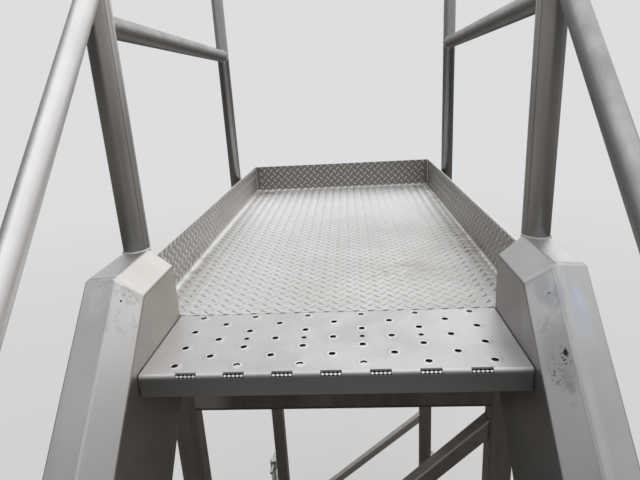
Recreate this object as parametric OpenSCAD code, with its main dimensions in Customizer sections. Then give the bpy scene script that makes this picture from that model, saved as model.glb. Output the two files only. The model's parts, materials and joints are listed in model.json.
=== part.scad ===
// Mobile aircraft stairs: a stainless steel platform on four legs, a straight flight of
// folded treads between two closed box stringers, tube railings and a wheeled base frame.
// X runs to the right, Y runs up the stairs towards the aircraft, Z is up from the ground.

/* [Deck] */
// Height of the platform deck above the ground
deck_h = 1900; // [1500:10:2600]
// Length of the deck along the walking direction
deck_len = 1215; // [1100:5:1600]
// Width of the deck over its kick plates
deck_w = 722; // [712:1:760]
// Height of the kick plates above the deck
kick_h = 104; // [60:1:160]
// Thickness of the folded sheets of deck and treads
sheet_t = 3; // [2:0.5:5]
// Inner bend radius between the deck and its kick plates
kick_r = 12; // [6:1:20]

/* [Stairs] */
// Number of treads, the top one flush with the deck
step_count = 9; // [6:1:12]
// Horizontal distance from one nosing to the next
going = 200; // [190:1:210]
// Depth of a tread from its nosing to its back edge
tread_d = 212; // [205:1:225]
// Clear width between the stringers
stair_w = 600; // [560:5:620]
// Height of the folded front of a tread
fold_h = 38; // [25:1:50]
// Outer radius of the bent nosing
nose_r = 6; // [5:0.5:10]
// Gap between a tread and each neighbouring sheet
tread_gap = 1.5; // [1:0.5:3]

/* [Stringers] */
// Width of a closed box stringer
stringer_w = 87; // [75:1:100]
// Depth of a stringer square to its slope, below its inner edge
stringer_depth = 235; // [200:5:260]
// Height of the level cap's inner edge above the deck
cap_rise = 104; // [90:1:120]
// Length of the level cap in front of the deck edge
cap_len = 139; // [120:1:160]
// Width of the bevel on the inner side of a stringer
bevel_w = 42; // [30:1:50]
// Rise of that bevel from the inner edge to the ridge
bevel_rise = 35; // [20:1:40]
// Fall of the outer top face from the ridge to the outer wall
top_fall = 3; // [1:1:8]
// Clearance under the cut foot of the stringers
foot_clear = 70; // [40:5:100]

/* [Frame] */
// Side of the square tubes of the legs and crossmembers
leg_s = 50; // [40:1:60]
// Height of the two long tubes of the base frame
base_tube_h = 80; // [60:5:100]
// Ground clearance under the base frame
base_clear = 200; // [190:5:240]
// Distance of the front legs behind the deck edge
front_leg_y = 50; // [40:5:120]
// Distance of the rear legs from the far end of the deck
rear_leg_inset = 125; // [60:5:200]
// Height of the beams under the deck
deck_beam_h = 100; // [60:5:120]
// Distance of the middle base crossmember in front of the deck edge
mid_cross_y = 600; // [450:10:750]
// Drop of the front leg beam's lower edge below the deck
leg_beam_drop = 236; // [180:2:300]
// Height of the front leg beam
leg_beam_h = 62; // [50:1:80]
// Drop of the front brace's fold below the deck, at its upper end
front_brace_drop = 276; // [260:2:400]
// Width of one leaf of the front brace
front_brace_leaf = 32; // [28:1:40]
// Drop of the rear brace's upper end below the deck
rear_brace_drop = 1048; // [900:2:1100]
// Side of the rear brace's square tube
rear_brace_s = 30; // [25:1:45]

/* [Railings] */
// Diameter of the posts
post_d = 48.3; // [40:0.1:52]
// Diameter of the rails and of the rear posts
rail_d = 38.1; // [30:0.1:42]
// Diameter of the sloping knee rails
knee_rail_d = 35; // [26:0.5:35]
// Diameter of the middle posts of the stair railing
mid_post_d = 36.5; // [36:0.1:37]
// Distance of the front posts from the middle of the stairs
front_post_x = 366; // [360:1:372]
// Distance of the rear posts behind the deck edge
rear_post_y = 950; // [800:5:1050]
// Height of the middle rail above the deck
mid_rail_h = 530; // [400:5:650]
// Height of the top rail above the deck
top_rail_h = 1100; // [950:5:1200]
// Height of the sloping knee rail above the line of nosings
knee_rail_h = 366; // [300:2:500]
// Bend radius of the top rail at its rear corner
rail_bend_r = 90; // [60:5:150]

/* [Main wheels] */
// Diameter of the two fixed wheels
wheel_d = 400; // [360:5:420]
// Width of their tyres
wheel_w = 100; // [80:5:110]
// Diameter of their rims
rim_d = 220; // [180:5:240]
// Diameter of the stub axles
axle_d = 25; // [20:1:35]
// Distance of the wheel axis behind the deck edge
wheel_y = 780; // [700:5:800]
// Length of the plate that carries a stub axle
axle_plate_l = 120; // [90:5:150]

/* [Castors] */
// Diameter of the two swivel castor wheels
castor_d = 160; // [140:5:170]
// Width of a castor wheel
castor_w = 45; // [35:1:55]
// Trail of a castor behind its swivel axis
castor_trail = 45; // [30:1:55]
// Diameter of a castor's wheel pin
castor_pin_d = 14; // [10:1:20]
// Length of a castor's mounting plate
castor_plate_l = 110; // [90:5:130]
// Width of a castor's mounting plate
castor_plate_w = 100; // [80:5:110]

/* [Jacks] */
// Diameter of a stabiliser spindle
spindle_d = 30; // [24:1:36]
// Diameter of a foot pad
pad_d = 120; // [90:5:140]
// Side of the square sleeve of a stabiliser
sleeve_s = 60; // [50:1:70]
// Travel of a stabiliser from the ground upwards
jack_travel = 120; // [60:5:140]

/* [Tow lug] */
// Diameter of the tow pin bore
tow_bore_d = 22; // [16:0.5:30]
// Open height between the two lug plates
tow_gap = 30; // [20:1:40]
// Thickness of a lug plate
tow_plate_t = 10; // [8:1:15]

/* [Hidden] */
$fn = 64;

steel = "#b9b8b3";
dark_steel = "#6f6b66";
rubber = "#2b2b2b";
zinc = "#9aa0a3";

// Larger than the whole object, for cutting planes
big = 6000;
// Running clearance between flat faces of moving pieces
run_gap = 0.3;
riser = deck_h / step_count;
slope = atan(riser / going);
half_w = stair_w / 2;
deck_half = deck_w / 2;
outer_x = half_w + stringer_w;
leg_x = deck_half - leg_s / 2;
rear_leg_y = deck_len - rear_leg_inset;
frame_top = deck_h - sheet_t;
frame_bottom = frame_top - deck_beam_h;
base_top = base_clear + base_tube_h;
cross_z = base_top - leg_s / 2 - 10;

// The knee of a stringer, where its level cap turns down, and the line under it
knee_y = -cap_len;
knee_z = deck_h + cap_rise;
under_drop = stringer_depth / cos(slope);
function under_z(y) = knee_z - under_drop + (y - knee_y) * tan(slope);
function under_y(z) = knee_y + (z - knee_z + under_drop) / tan(slope);

// The line of nosings, and the foot of the flight
function nosing_y(k) = -tread_d - k * going;
function nosing_z(y) = deck_h + (y + tread_d) * tan(slope);
foot_y = nosing_y(step_count - 1) - 28;
crossbar_y = foot_y + 60;
crossbar_z = foot_clear + 35;

// Places of the castors' swivel axes and of the stabilisers
castor_y = -1300;
castor_x = leg_x;
castor_plate_t = 8;
jack_front_y = -1480;
jack_rear_y = deck_len - 75;
jack_front_x = outer_x + sleeve_s / 2;
jack_rear_x = deck_half + sleeve_s / 2;
sleeve_low = 150;
sleeve_high = 410;
pad_t = 12;
handle_z = sleeve_high + jack_travel + 30;
handle_reach = 70;

wheel_x = deck_half + 79;
bracket_t = 12;
washer_t = 6;

// The front posts straddle the end of the caps; the stair railing has two more posts
rear_post_x = deck_half + 6 + rail_d / 2;
front_post_y = 4;
post_notch = front_post_y + post_d / 2 + 3;
mid_post_y = -900;
foot_post_y = -1700;
hand_rail_h = top_rail_h - tan(slope) * (front_post_y + tread_d);

tow_lug_w = 70;
tow_reach = 52;
tow_end_y = foot_y - tow_reach;

// The origin sits on the ground in the middle of the object's box
shift_y = -(deck_len + tow_end_y - tow_lug_w / 2) / 2;

// Round bar from point a to point b
module bar(a, b, d) {
    v = b - a;
    translate(a)
        rotate([0, acos(v.z / norm(v)), atan2(v.y, v.x)])
            cylinder(h = norm(v), d = d);
}

// Block given by its low and high corners
module block(low, high) {
    translate(low) cube(high - low);
}

// Profile in the Y-Z plane, drawn as [y, z], extruded from x0 to x1
module side_profile(x0, x1) {
    translate([x0, 0, 0])
        rotate([90, 0, 90])
            linear_extrude(x1 - x0) children();
}

// Shape for the right side, mirrored over for the left
module on_side(side) {
    mirror([side < 0 ? 1 : 0, 0, 0]) children();
}

// Everything above the two sloping top faces of a right stringer, level with its cap
module above_cap() {
    translate([half_w, 0, 0])
        rotate([0, -atan(bevel_rise / bevel_w), 0])
            translate([-big / 2, -big / 2, 0]) cube([big, big, big]);
    translate([half_w + bevel_w, 0, bevel_rise])
        rotate([0, atan(top_fall / (stringer_w - bevel_w)), 0])
            translate([-big / 2, -big / 2, 0]) cube([big, big, big]);
}

// Closed box stringer on the right side
module stringer_shape() {
    head = bevel_rise + 10;
    slope_head = head / cos(slope);
    difference() {
        side_profile(half_w, outer_x)
            polygon([
                [0, under_z(0)],
                [0, knee_z + head],
                [knee_y, knee_z + head],
                [foot_y, knee_z + slope_head + (foot_y - knee_y) * tan(slope)],
                [foot_y, foot_clear],
                [under_y(foot_clear), foot_clear]
            ]);
        translate([0, 0, knee_z]) above_cap();
        translate([0, knee_y, knee_z]) rotate([slope, 0, 0]) above_cap();
    }
}

module stringer_left() {
    color(steel) translate([0, shift_y, 0]) on_side(-1) stringer_shape();
}

module stringer_right() {
    color(steel) translate([0, shift_y, 0]) on_side(1) stringer_shape();
}

// Two long tubes of the base, cut to seat under the stringers
module base_side_tubes() {
    color(dark_steel) translate([0, shift_y, 0])
        for (side = [-1, 1])
            on_side(side)
                side_profile(leg_x - leg_s / 2, leg_x + leg_s / 2)
                    polygon([
                        [under_y(base_clear), base_clear],
                        [deck_len, base_clear],
                        [deck_len, base_top],
                        [under_y(base_top), base_top]
                    ]);
}

module base_crossmembers() {
    inner = leg_x - leg_s / 2;
    color(dark_steel) translate([0, shift_y, 0])
        for (y = [castor_y, -mid_cross_y, front_leg_y, wheel_y, deck_len - leg_s / 2])
            block([-inner, y - leg_s / 2, cross_z - leg_s / 2],
                  [inner, y + leg_s / 2, cross_z + leg_s / 2]);
}

module platform_legs() {
    color(dark_steel) translate([0, shift_y, 0])
        for (side = [-1, 1], y = [front_leg_y, rear_leg_y])
            block([side * leg_x - leg_s / 2, y - leg_s / 2, base_top],
                  [side * leg_x + leg_s / 2, y + leg_s / 2, frame_bottom]);
}

// Channel between the front legs, its lips turned to the back
module front_leg_beam() {
    inner = leg_x - leg_s / 2;
    low = deck_h - leg_beam_drop;
    high = low + leg_beam_h;
    front = front_leg_y - 23;
    back = front_leg_y + 17;
    t = 5;
    color(dark_steel) translate([0, shift_y, 0])
        side_profile(-inner, inner)
            polygon([
                [front, low], [back, low], [back, low + t], [front + t, low + t],
                [front + t, high - t], [back, high - t], [back, high], [front, high]
            ]);
}

// Folded angle from the right front leg down to the left one, a leaf to the front and one on top
module front_brace() {
    inner = leg_x - leg_s / 2;
    high = deck_h - front_brace_drop;
    reach = 2 * inner;
    leaf = front_brace_leaf;
    t = 5;
    color(dark_steel) translate([0, shift_y, 0])
        intersection() {
            block([-inner, front_leg_y - 60, 0], [inner, front_leg_y + 60, deck_h]);
            translate([inner, front_leg_y - 15, high])
                rotate([0, 45, 0])
                    translate([0, 0, -reach * 1.5])
                        linear_extrude(reach * 1.6)
                            polygon([
                                [0, 0], [leaf, 0], [leaf, t], [t, t], [t, leaf], [0, leaf]
                            ]);
        }
}

// Square tube from the right rear leg down to the foot of the left one
module rear_brace() {
    inner = leg_x - leg_s / 2;
    s = rear_brace_s;
    high = deck_h - rear_brace_drop;
    low = base_top + 0.75 * s;
    tilt = atan(2 * inner / (high - low));
    color(dark_steel) translate([0, shift_y, 0])
        intersection() {
            block([-inner, rear_leg_y - s, 0], [inner, rear_leg_y + s, deck_h]);
            translate([-inner, rear_leg_y, low])
                rotate([0, tilt, 0])
                    translate([-s / 2, -s / 2, -s])
                        cube([s, s, norm([2 * inner, high - low]) + 2 * s]);
        }
}

// Welded grid of beams under the deck
module deck_frame() {
    inner = deck_half - leg_s;
    color(dark_steel) translate([0, shift_y, 0]) {
        for (side = [-1, 1])
            on_side(side)
                block([inner, 0, frame_bottom], [deck_half, deck_len, frame_top]);
        for (y = [leg_s / 2, deck_len / 3, deck_len * 2 / 3, deck_len - leg_s / 2])
            block([-inner, y - leg_s / 2, frame_bottom], [inner, y + leg_s / 2, frame_top]);
    }
}

// Block with a round lower edge on its two sides and its far end
module tray_form(inset) {
    r = kick_r + sheet_t - inset;
    x = deck_half - inset;
    y = deck_len - inset;
    z = frame_top + inset;
    top = deck_h + kick_h + (inset > 0 ? 1 : 0);
    near = inset > 0 ? -1 : 0;
    intersection() {
        translate([0, near, 0])
            rotate([-90, 0, 0])
                linear_extrude(y - near)
                    union() {
                        translate([-x, -top]) square([2 * x, top - z - r]);
                        translate([-x + r, -top]) square([2 * (x - r), top - z]);
                        for (side = [-1, 1])
                            translate([side * (x - r), -z - r]) circle(r);
                    }
        side_profile(-x, x)
            union() {
                translate([near, z + r]) square([y - near, top - z - r]);
                translate([near, z]) square([y - near - r, top - z]);
                translate([y - r, z + r]) circle(r);
            }
    }
}

// Deck sheet folded up into three kick plates, notched round the front posts
module deck_tray() {
    color(steel) translate([0, shift_y, 0])
        difference() {
            tray_form(0);
            tray_form(sheet_t);
            for (side = [-1, 1])
                on_side(side)
                    block([front_post_x - post_d / 2 - 3, -1, frame_top - 1],
                          [deck_half + 1, post_notch, deck_h + kick_h + 1]);
        }
}

// Side outline of a tread: top, bent nosing, folded front and back, return lips
module tread_outline() {
    lip = 25;
    back = -tread_gap;
    front = -tread_d;
    difference() {
        union() {
            translate([front + nose_r, -fold_h]) square([back - front - nose_r, fold_h]);
            translate([front, -fold_h]) square([nose_r, fold_h - nose_r]);
            translate([front + nose_r, -nose_r]) circle(nose_r);
        }
        translate([front + sheet_t, sheet_t - fold_h])
            square([back - front - 2 * sheet_t, fold_h - 2 * sheet_t]);
        translate([front + lip, -fold_h - 1])
            square([back - front - 2 * lip, sheet_t + 2]);
    }
}

module tread() {
    side_profile(-half_w + tread_gap, half_w - tread_gap) tread_outline();
}

module top_tread() {
    color(steel) translate([0, shift_y, deck_h]) tread();
}

module lower_treads() {
    color(steel) translate([0, shift_y, deck_h])
        for (k = [1:step_count - 1])
            translate([0, -k * going, -k * riser]) tread();
}

// Angle cleats on the stringer walls that carry the treads
module tread_cleats() {
    cleat_t = 4;
    cleat_w = 32;
    clear_y = 30;
    color(steel) translate([0, shift_y, deck_h])
        for (k = [0:step_count - 1], side = [-1, 1])
            translate([0, -k * going, -k * riser])
                on_side(side) {
                    block([half_w - cleat_w, clear_y - tread_d, -sheet_t - cleat_t],
                          [half_w, -clear_y, -sheet_t]);
                    block([half_w - cleat_t, clear_y - tread_d, -fold_h],
                          [half_w, -clear_y, -sheet_t]);
                }
}

// Stout post over the end of a cap, its rear half reaching down to the deck beam
module front_post_shape() {
    difference() {
        union() {
            translate([front_post_x, front_post_y, frame_top])
                cylinder(h = deck_h + top_rail_h - frame_top, d = post_d);
            translate([front_post_x, front_post_y, deck_h + top_rail_h])
                sphere(d = post_d);
        }
        stringer_shape();
    }
}

module front_posts() {
    color(steel) translate([0, shift_y, 0])
        for (side = [-1, 1]) on_side(side) front_post_shape();
}

// Room that a front post takes, to cope the ends of the rails
module front_post_room() {
    translate([front_post_x, front_post_y, deck_h])
        cylinder(h = top_rail_h + post_d, d = post_d);
}

// Top rail, its bend, the rear post and the middle rail of one side of the platform
module platform_rail_shape() {
    run = norm([rear_post_x - front_post_x, rear_post_y - front_post_y]);
    turn = -atan((rear_post_x - front_post_x) / (rear_post_y - front_post_y));
    r = rail_bend_r;
    difference() {
        translate([front_post_x, front_post_y, deck_h])
            rotate([0, 0, turn]) {
                bar([0, 0, top_rail_h], [0, run - r, top_rail_h], rail_d);
                bar([0, 0, mid_rail_h], [0, run, mid_rail_h], rail_d);
                bar([0, run, -deck_beam_h], [0, run, top_rail_h - r], rail_d);
                translate([0, run - r, top_rail_h - r])
                    rotate([90, 0, 90])
                        rotate_extrude(angle = 90) translate([r, 0]) circle(d = rail_d);
            }
        front_post_room();
        translate([front_post_x, front_post_y, deck_h + top_rail_h]) sphere(d = post_d);
    }
}

module platform_rail_left() {
    color(steel) translate([0, shift_y, 0]) on_side(-1) platform_rail_shape();
}

module platform_rail_right() {
    color(steel) translate([0, shift_y, 0]) on_side(1) platform_rail_shape();
}

// Welded pads between the deck beams and the rear posts
module rear_post_brackets() {
    pad_h = 30;
    color(steel) translate([0, shift_y, 0])
        for (side = [-1, 1], z = [frame_bottom + 12, frame_top - 12 - pad_h])
            on_side(side)
                difference() {
                    block([deck_half, rear_post_y - pad_h / 2, z],
                          [rear_post_x, rear_post_y + pad_h / 2, z + pad_h]);
                    translate([rear_post_x, rear_post_y, z - 1])
                        cylinder(h = pad_h + 2, d = rail_d);
                }
}

// Handrail bent down into the foot post, with weld rings at the bend's ends,
// a middle post and the knee rail
module stair_rail_shape() {
    x = front_post_x;
    r = rail_bend_r;
    bend = 90 - slope;
    corner_z = nosing_z(foot_post_y) + hand_rail_h;
    tangent = r * tan(bend / 2);
    low_seam = [x, foot_post_y, corner_z - tangent];
    high_seam = low_seam + r * [0, 1 - cos(bend), sin(bend)];
    up_slope = [0, cos(slope), sin(slope)];
    weld_l = 3;
    weld_d = rail_d + 1;
    sunk = 60;
    difference() {
        union() {
            bar(high_seam, [x, front_post_y, nosing_z(front_post_y) + hand_rail_h], rail_d);
            bar(high_seam - weld_l * up_slope, high_seam + weld_l * up_slope, weld_d);
            bar(low_seam - [0, 0, weld_l], low_seam + [0, 0, weld_l], weld_d);
            bar([x, foot_post_y, nosing_z(foot_post_y) + knee_rail_h],
                [x, front_post_y, nosing_z(front_post_y) + knee_rail_h], knee_rail_d);
            translate(low_seam + [0, r, 0])
                rotate([90, 0, 90])
                    rotate([0, 0, 180 - bend])
                        rotate_extrude(angle = bend) translate([r, 0]) circle(d = rail_d);
            bar([x, foot_post_y, nosing_z(foot_post_y) - sunk], low_seam, rail_d);
            bar([x, mid_post_y, nosing_z(mid_post_y) - sunk],
                [x, mid_post_y, nosing_z(mid_post_y) + hand_rail_h], mid_post_d);
        }
        stringer_shape();
        front_post_room();
    }
}

module stair_rail_left() {
    color(steel) translate([0, shift_y, 0]) on_side(-1) stair_rail_shape();
}

module stair_rail_right() {
    color(steel) translate([0, shift_y, 0]) on_side(1) stair_rail_shape();
}

// Plates and stub axles of the fixed wheels
module axle_brackets() {
    axle_z = wheel_d / 2;
    color(dark_steel) translate([0, shift_y, 0])
        for (side = [-1, 1])
            on_side(side) {
                block([deck_half, wheel_y - axle_plate_l / 2, axle_z - 40],
                      [deck_half + bracket_t, wheel_y + axle_plate_l / 2, base_top]);
                bar([deck_half, wheel_y, axle_z],
                    [wheel_x + wheel_w / 2 + washer_t, wheel_y, axle_z], axle_d);
                bar([deck_half, wheel_y, axle_z],
                    [wheel_x - wheel_w / 2 - run_gap, wheel_y, axle_z], axle_d + 15);
                bar([wheel_x + wheel_w / 2 + run_gap, wheel_y, axle_z],
                    [wheel_x + wheel_w / 2 + washer_t, wheel_y, axle_z], axle_d + 15);
            }
}

// Tyre with round shoulders about the X axis, its middle at the origin
module tyre_shape(d, w, bore) {
    r = w * 0.28;
    rotate([0, 90, 0])
        rotate_extrude()
            difference() {
                union() {
                    translate([bore / 2, -w / 2 + w * 0.12]) square([d / 2 - bore / 2 - r, w * 0.76]);
                    translate([bore / 2 + w * 0.1, -w / 2]) square([d / 2 - bore / 2 - w * 0.1 - r, w]);
                    translate([d / 2 - r - 1, -w / 2 + r]) square([r + 1, w - 2 * r]);
                    for (side = [-1, 1])
                        translate([d / 2 - r, side * (w / 2 - r)]) circle(r);
                }
                translate([-1, -w]) square([bore / 2 + 1, 2 * w]);
            }
}

module main_tyre(side) {
    color(rubber) translate([side * wheel_x, shift_y + wheel_y, wheel_d / 2])
        tyre_shape(wheel_d, wheel_w, rim_d);
}

// Dished rim with a hub and flanges, drawn from the wheel axis outwards
module rim_shape(d, w, bore, hub) {
    web = 5;
    rotate([0, 90, 0])
        rotate_extrude() {
            translate([bore / 2, -w / 2]) square([(hub - bore) / 2, w]);
            translate([bore / 2, -web / 2]) square([(d - bore) / 2 - 1, web]);
            translate([d / 2 - 8, -w * 0.36]) square([8, w * 0.72]);
        }
}

module main_rim(side) {
    color(zinc) translate([side * wheel_x, shift_y + wheel_y, wheel_d / 2])
        rim_shape(rim_d, wheel_w, axle_d + 2 * run_gap, 60);
}

module main_tyre_left() { main_tyre(-1); }
module main_tyre_right() { main_tyre(1); }
module main_rim_left() { main_rim(-1); }
module main_rim_right() { main_rim(1); }

// Mounting plates of the castors under the base tubes
module castor_plates() {
    color(zinc) translate([0, shift_y, 0])
        for (side = [-1, 1])
            block([side * castor_x - castor_plate_w / 2, castor_y - castor_plate_l / 2,
                   base_clear - castor_plate_t],
                  [side * castor_x + castor_plate_w / 2, castor_y + castor_plate_l / 2,
                   base_clear]);
}

// Swivel head, crown plate, two cheeks and the wheel pin of a castor
module castor_fork(side) {
    head_top = base_clear - castor_plate_t - run_gap;
    crown_top = head_top - 10;
    cheek_t = 5;
    cheek_x = castor_w / 2 + 6;
    axle_z = castor_d / 2;
    color(zinc) translate([side * castor_x, shift_y + castor_y, 0]) {
        translate([0, 0, crown_top - 1]) cylinder(h = head_top - crown_top + 1, d = 70);
        block([-cheek_x - cheek_t, -32, crown_top - 6], [cheek_x + cheek_t, 40, crown_top]);
        for (s = [-1, 1])
            side_profile(s * (cheek_x + cheek_t / 2) - cheek_t / 2,
                         s * (cheek_x + cheek_t / 2) + cheek_t / 2)
                union() {
                    polygon([
                        [-32, crown_top], [40, crown_top], [castor_trail + 18, axle_z],
                        [castor_trail - 18, axle_z]
                    ]);
                    translate([castor_trail, axle_z]) circle(18);
                }
        bar([-cheek_x - cheek_t - 4, castor_trail, axle_z],
            [cheek_x + cheek_t + 4, castor_trail, axle_z], castor_pin_d);
    }
}

module castor_tyre(side) {
    color(rubber) translate([side * castor_x, shift_y + castor_y + castor_trail, castor_d / 2])
        tyre_shape(castor_d, castor_w, castor_d * 0.7);
}

module castor_hub(side) {
    color(zinc) translate([side * castor_x, shift_y + castor_y + castor_trail, castor_d / 2])
        rim_shape(castor_d * 0.7, castor_w + 8, castor_pin_d + 2 * run_gap, 34);
}

module castor_fork_left() { castor_fork(-1); }
module castor_fork_right() { castor_fork(1); }
module castor_tyre_left() { castor_tyre(-1); }
module castor_tyre_right() { castor_tyre(1); }
module castor_hub_left() { castor_hub(-1); }
module castor_hub_right() { castor_hub(1); }

// Bored square sleeves of the four stabilisers
module jack_sleeves() {
    color(dark_steel) translate([0, shift_y, 0])
        for (side = [-1, 1], row = [[jack_front_x, jack_front_y], [jack_rear_x, jack_rear_y]])
            translate([side * row.x, row.y, 0])
                difference() {
                    block([-sleeve_s / 2, -sleeve_s / 2, sleeve_low],
                          [sleeve_s / 2, sleeve_s / 2, sleeve_high]);
                    translate([0, 0, sleeve_low - 1])
                        cylinder(h = sleeve_high - sleeve_low + 2, d = spindle_d + 2 * run_gap);
                }
}

// Spindle, foot pad and cross handle of a stabiliser, its pad on the ground
module jack(x, y) {
    color(zinc) translate([x, shift_y + y, 0]) {
        cylinder(h = pad_t, d = pad_d);
        cylinder(h = handle_z + 20, d = spindle_d);
        bar([0, -handle_reach, handle_z], [0, handle_reach, handle_z], 14);
    }
}

module jack_front_left() { jack(-jack_front_x, jack_front_y); }
module jack_front_right() { jack(jack_front_x, jack_front_y); }
module jack_rear_left() { jack(-jack_rear_x, jack_rear_y); }
module jack_rear_right() { jack(jack_rear_x, jack_rear_y); }

// Square tube between the feet of the stringers
module foot_crossbar() {
    color(dark_steel) translate([0, shift_y, 0])
        block([-half_w, crossbar_y - leg_s / 2, crossbar_z - leg_s / 2],
              [half_w, crossbar_y + leg_s / 2, crossbar_z + leg_s / 2]);
}

// Two bored plates in front of the crossbar, for a tow pin
module tow_lug() {
    back = crossbar_y - leg_s / 2;
    color(dark_steel) translate([0, shift_y, crossbar_z])
        for (z = [-tow_gap / 2 - tow_plate_t, tow_gap / 2])
            translate([0, 0, z])
                linear_extrude(tow_plate_t)
                    difference() {
                        union() {
                            translate([-tow_lug_w / 2, tow_end_y])
                                square([tow_lug_w, back - tow_end_y]);
                            translate([0, tow_end_y]) circle(d = tow_lug_w);
                        }
                        translate([0, tow_end_y]) circle(d = tow_bore_d);
                    }
}

base_side_tubes();
base_crossmembers();
platform_legs();
front_leg_beam();
front_brace();
rear_brace();
deck_frame();
deck_tray();
stringer_left();
stringer_right();
top_tread();
lower_treads();
tread_cleats();
front_posts();
platform_rail_left();
platform_rail_right();
rear_post_brackets();
stair_rail_left();
stair_rail_right();
axle_brackets();
main_tyre_left();
main_tyre_right();
main_rim_left();
main_rim_right();
castor_plates();
castor_fork_left();
castor_fork_right();
castor_tyre_left();
castor_tyre_right();
castor_hub_left();
castor_hub_right();
jack_sleeves();
jack_front_left();
jack_front_right();
jack_rear_left();
jack_rear_right();
foot_crossbar();
tow_lug();
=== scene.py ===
import json
import math

import bmesh
import bpy
from mathutils import Matrix, Vector

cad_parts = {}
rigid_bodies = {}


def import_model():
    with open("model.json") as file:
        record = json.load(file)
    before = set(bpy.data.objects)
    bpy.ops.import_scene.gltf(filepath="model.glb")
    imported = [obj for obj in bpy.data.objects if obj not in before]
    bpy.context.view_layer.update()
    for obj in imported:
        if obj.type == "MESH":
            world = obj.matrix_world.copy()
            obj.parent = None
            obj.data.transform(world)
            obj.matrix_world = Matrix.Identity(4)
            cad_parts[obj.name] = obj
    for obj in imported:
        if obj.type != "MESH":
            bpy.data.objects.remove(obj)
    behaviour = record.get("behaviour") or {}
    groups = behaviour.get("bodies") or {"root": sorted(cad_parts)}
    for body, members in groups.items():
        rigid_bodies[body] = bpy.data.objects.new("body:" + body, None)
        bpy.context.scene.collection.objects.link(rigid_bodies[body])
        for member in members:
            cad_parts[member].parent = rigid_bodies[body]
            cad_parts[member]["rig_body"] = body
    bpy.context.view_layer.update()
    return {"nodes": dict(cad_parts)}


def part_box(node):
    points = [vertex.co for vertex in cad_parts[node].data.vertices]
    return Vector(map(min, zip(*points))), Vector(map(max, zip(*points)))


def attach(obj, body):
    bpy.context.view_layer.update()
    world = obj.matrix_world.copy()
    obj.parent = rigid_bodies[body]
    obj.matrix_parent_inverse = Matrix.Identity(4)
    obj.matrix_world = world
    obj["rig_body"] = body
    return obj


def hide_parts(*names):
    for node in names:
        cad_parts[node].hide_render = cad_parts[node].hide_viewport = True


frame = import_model()

# Viewpoint. The eye stands over the middle of the flight, a little above the deck, and
# looks up the stairs onto the platform, turned slightly to the left and rolled by 3 degrees.
# Its three angles are in radians.
deck_low, deck_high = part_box("deck_tray")
sheet = 0.003
deck_edge_y, deck_far_y = deck_low.y, deck_high.y
deck_z = deck_low.z + sheet

eye = Vector((0.0411, deck_edge_y - 0.8735, deck_z + 0.4109))
pitch_down, turn_left, roll = 0.296, 0.0696, 0.0575
photo_width, focal_pixels, sensor = 640, 501, 36.0

forward = Vector((
    -math.sin(turn_left) * math.cos(pitch_down),
    math.cos(turn_left) * math.cos(pitch_down),
    -math.sin(pitch_down),
))
rolled = Matrix.Rotation(roll, 3, forward) @ Vector((math.cos(turn_left), math.sin(turn_left), 0))
upward = rolled.cross(forward)
lens = bpy.data.cameras.new("viewpoint")
lens.sensor_width = sensor
lens.lens = focal_pixels / photo_width * sensor
viewpoint = bpy.data.objects.new("viewpoint", lens)
viewpoint.matrix_world = Matrix.Translation(eye) @ Matrix((rolled, upward, -forward)).transposed().to_4x4()
bpy.context.scene.collection.objects.link(viewpoint)
bpy.context.scene.camera = viewpoint


# Base frame and legs. Square and folded stainless sections, welded and pickled, never
# polished, browned by road dirt, and painted darker as the shade under the deck. Their
# corners are rolled round, as drawn tube is.
def feed(tree, socket, value):
    """Links a socket to an input, or sets the input to a number, vector or colour."""
    if isinstance(value, bpy.types.NodeSocket):
        tree.links.new(value, socket)
    elif socket.type == "RGBA":
        socket.default_value = (*value[:3], 1)
    else:
        socket.default_value = value


def put(tree, kind, inputs=None, **settings):
    """One node of a tree, with its settings and its inputs."""
    made = tree.nodes.new(kind)
    for key, value in settings.items():
        setattr(made, key, value)
    for key, value in (inputs or {}).items():
        feed(tree, made.inputs[key], value)
    return made


def calc(tree, operation, first, second=0.0):
    """Result of one Math node."""
    return put(tree, "ShaderNodeMath", {0: first, 1: second}, operation=operation).outputs[0]


def chained(operation):
    """Function that works out one operation over several values or sockets, from the left."""
    def result(tree, first, *others):
        for other in others:
            first = calc(tree, operation, first, other)
        return first
    return result


plus, minus, times = chained("ADD"), chained("SUBTRACT"), chained("MULTIPLY")


def remap(tree, value, low, high, to_low=0.0, to_high=1.0):
    """A value eased from the range low to high into another range."""
    made = put(tree, "ShaderNodeMapRange", {"Value": value}, interpolation_type="SMOOTHSTEP")
    for index, edge in enumerate((low, high, to_low, to_high), start=1):
        made.inputs[index].default_value = edge
    return made.outputs[0]


def tint(tree, share, under, over):
    """The colour over laid on the colour under by a share."""
    return put(tree, "ShaderNodeMix", {0: share, 6: under, 7: over}, data_type="RGBA").outputs[2]


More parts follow.
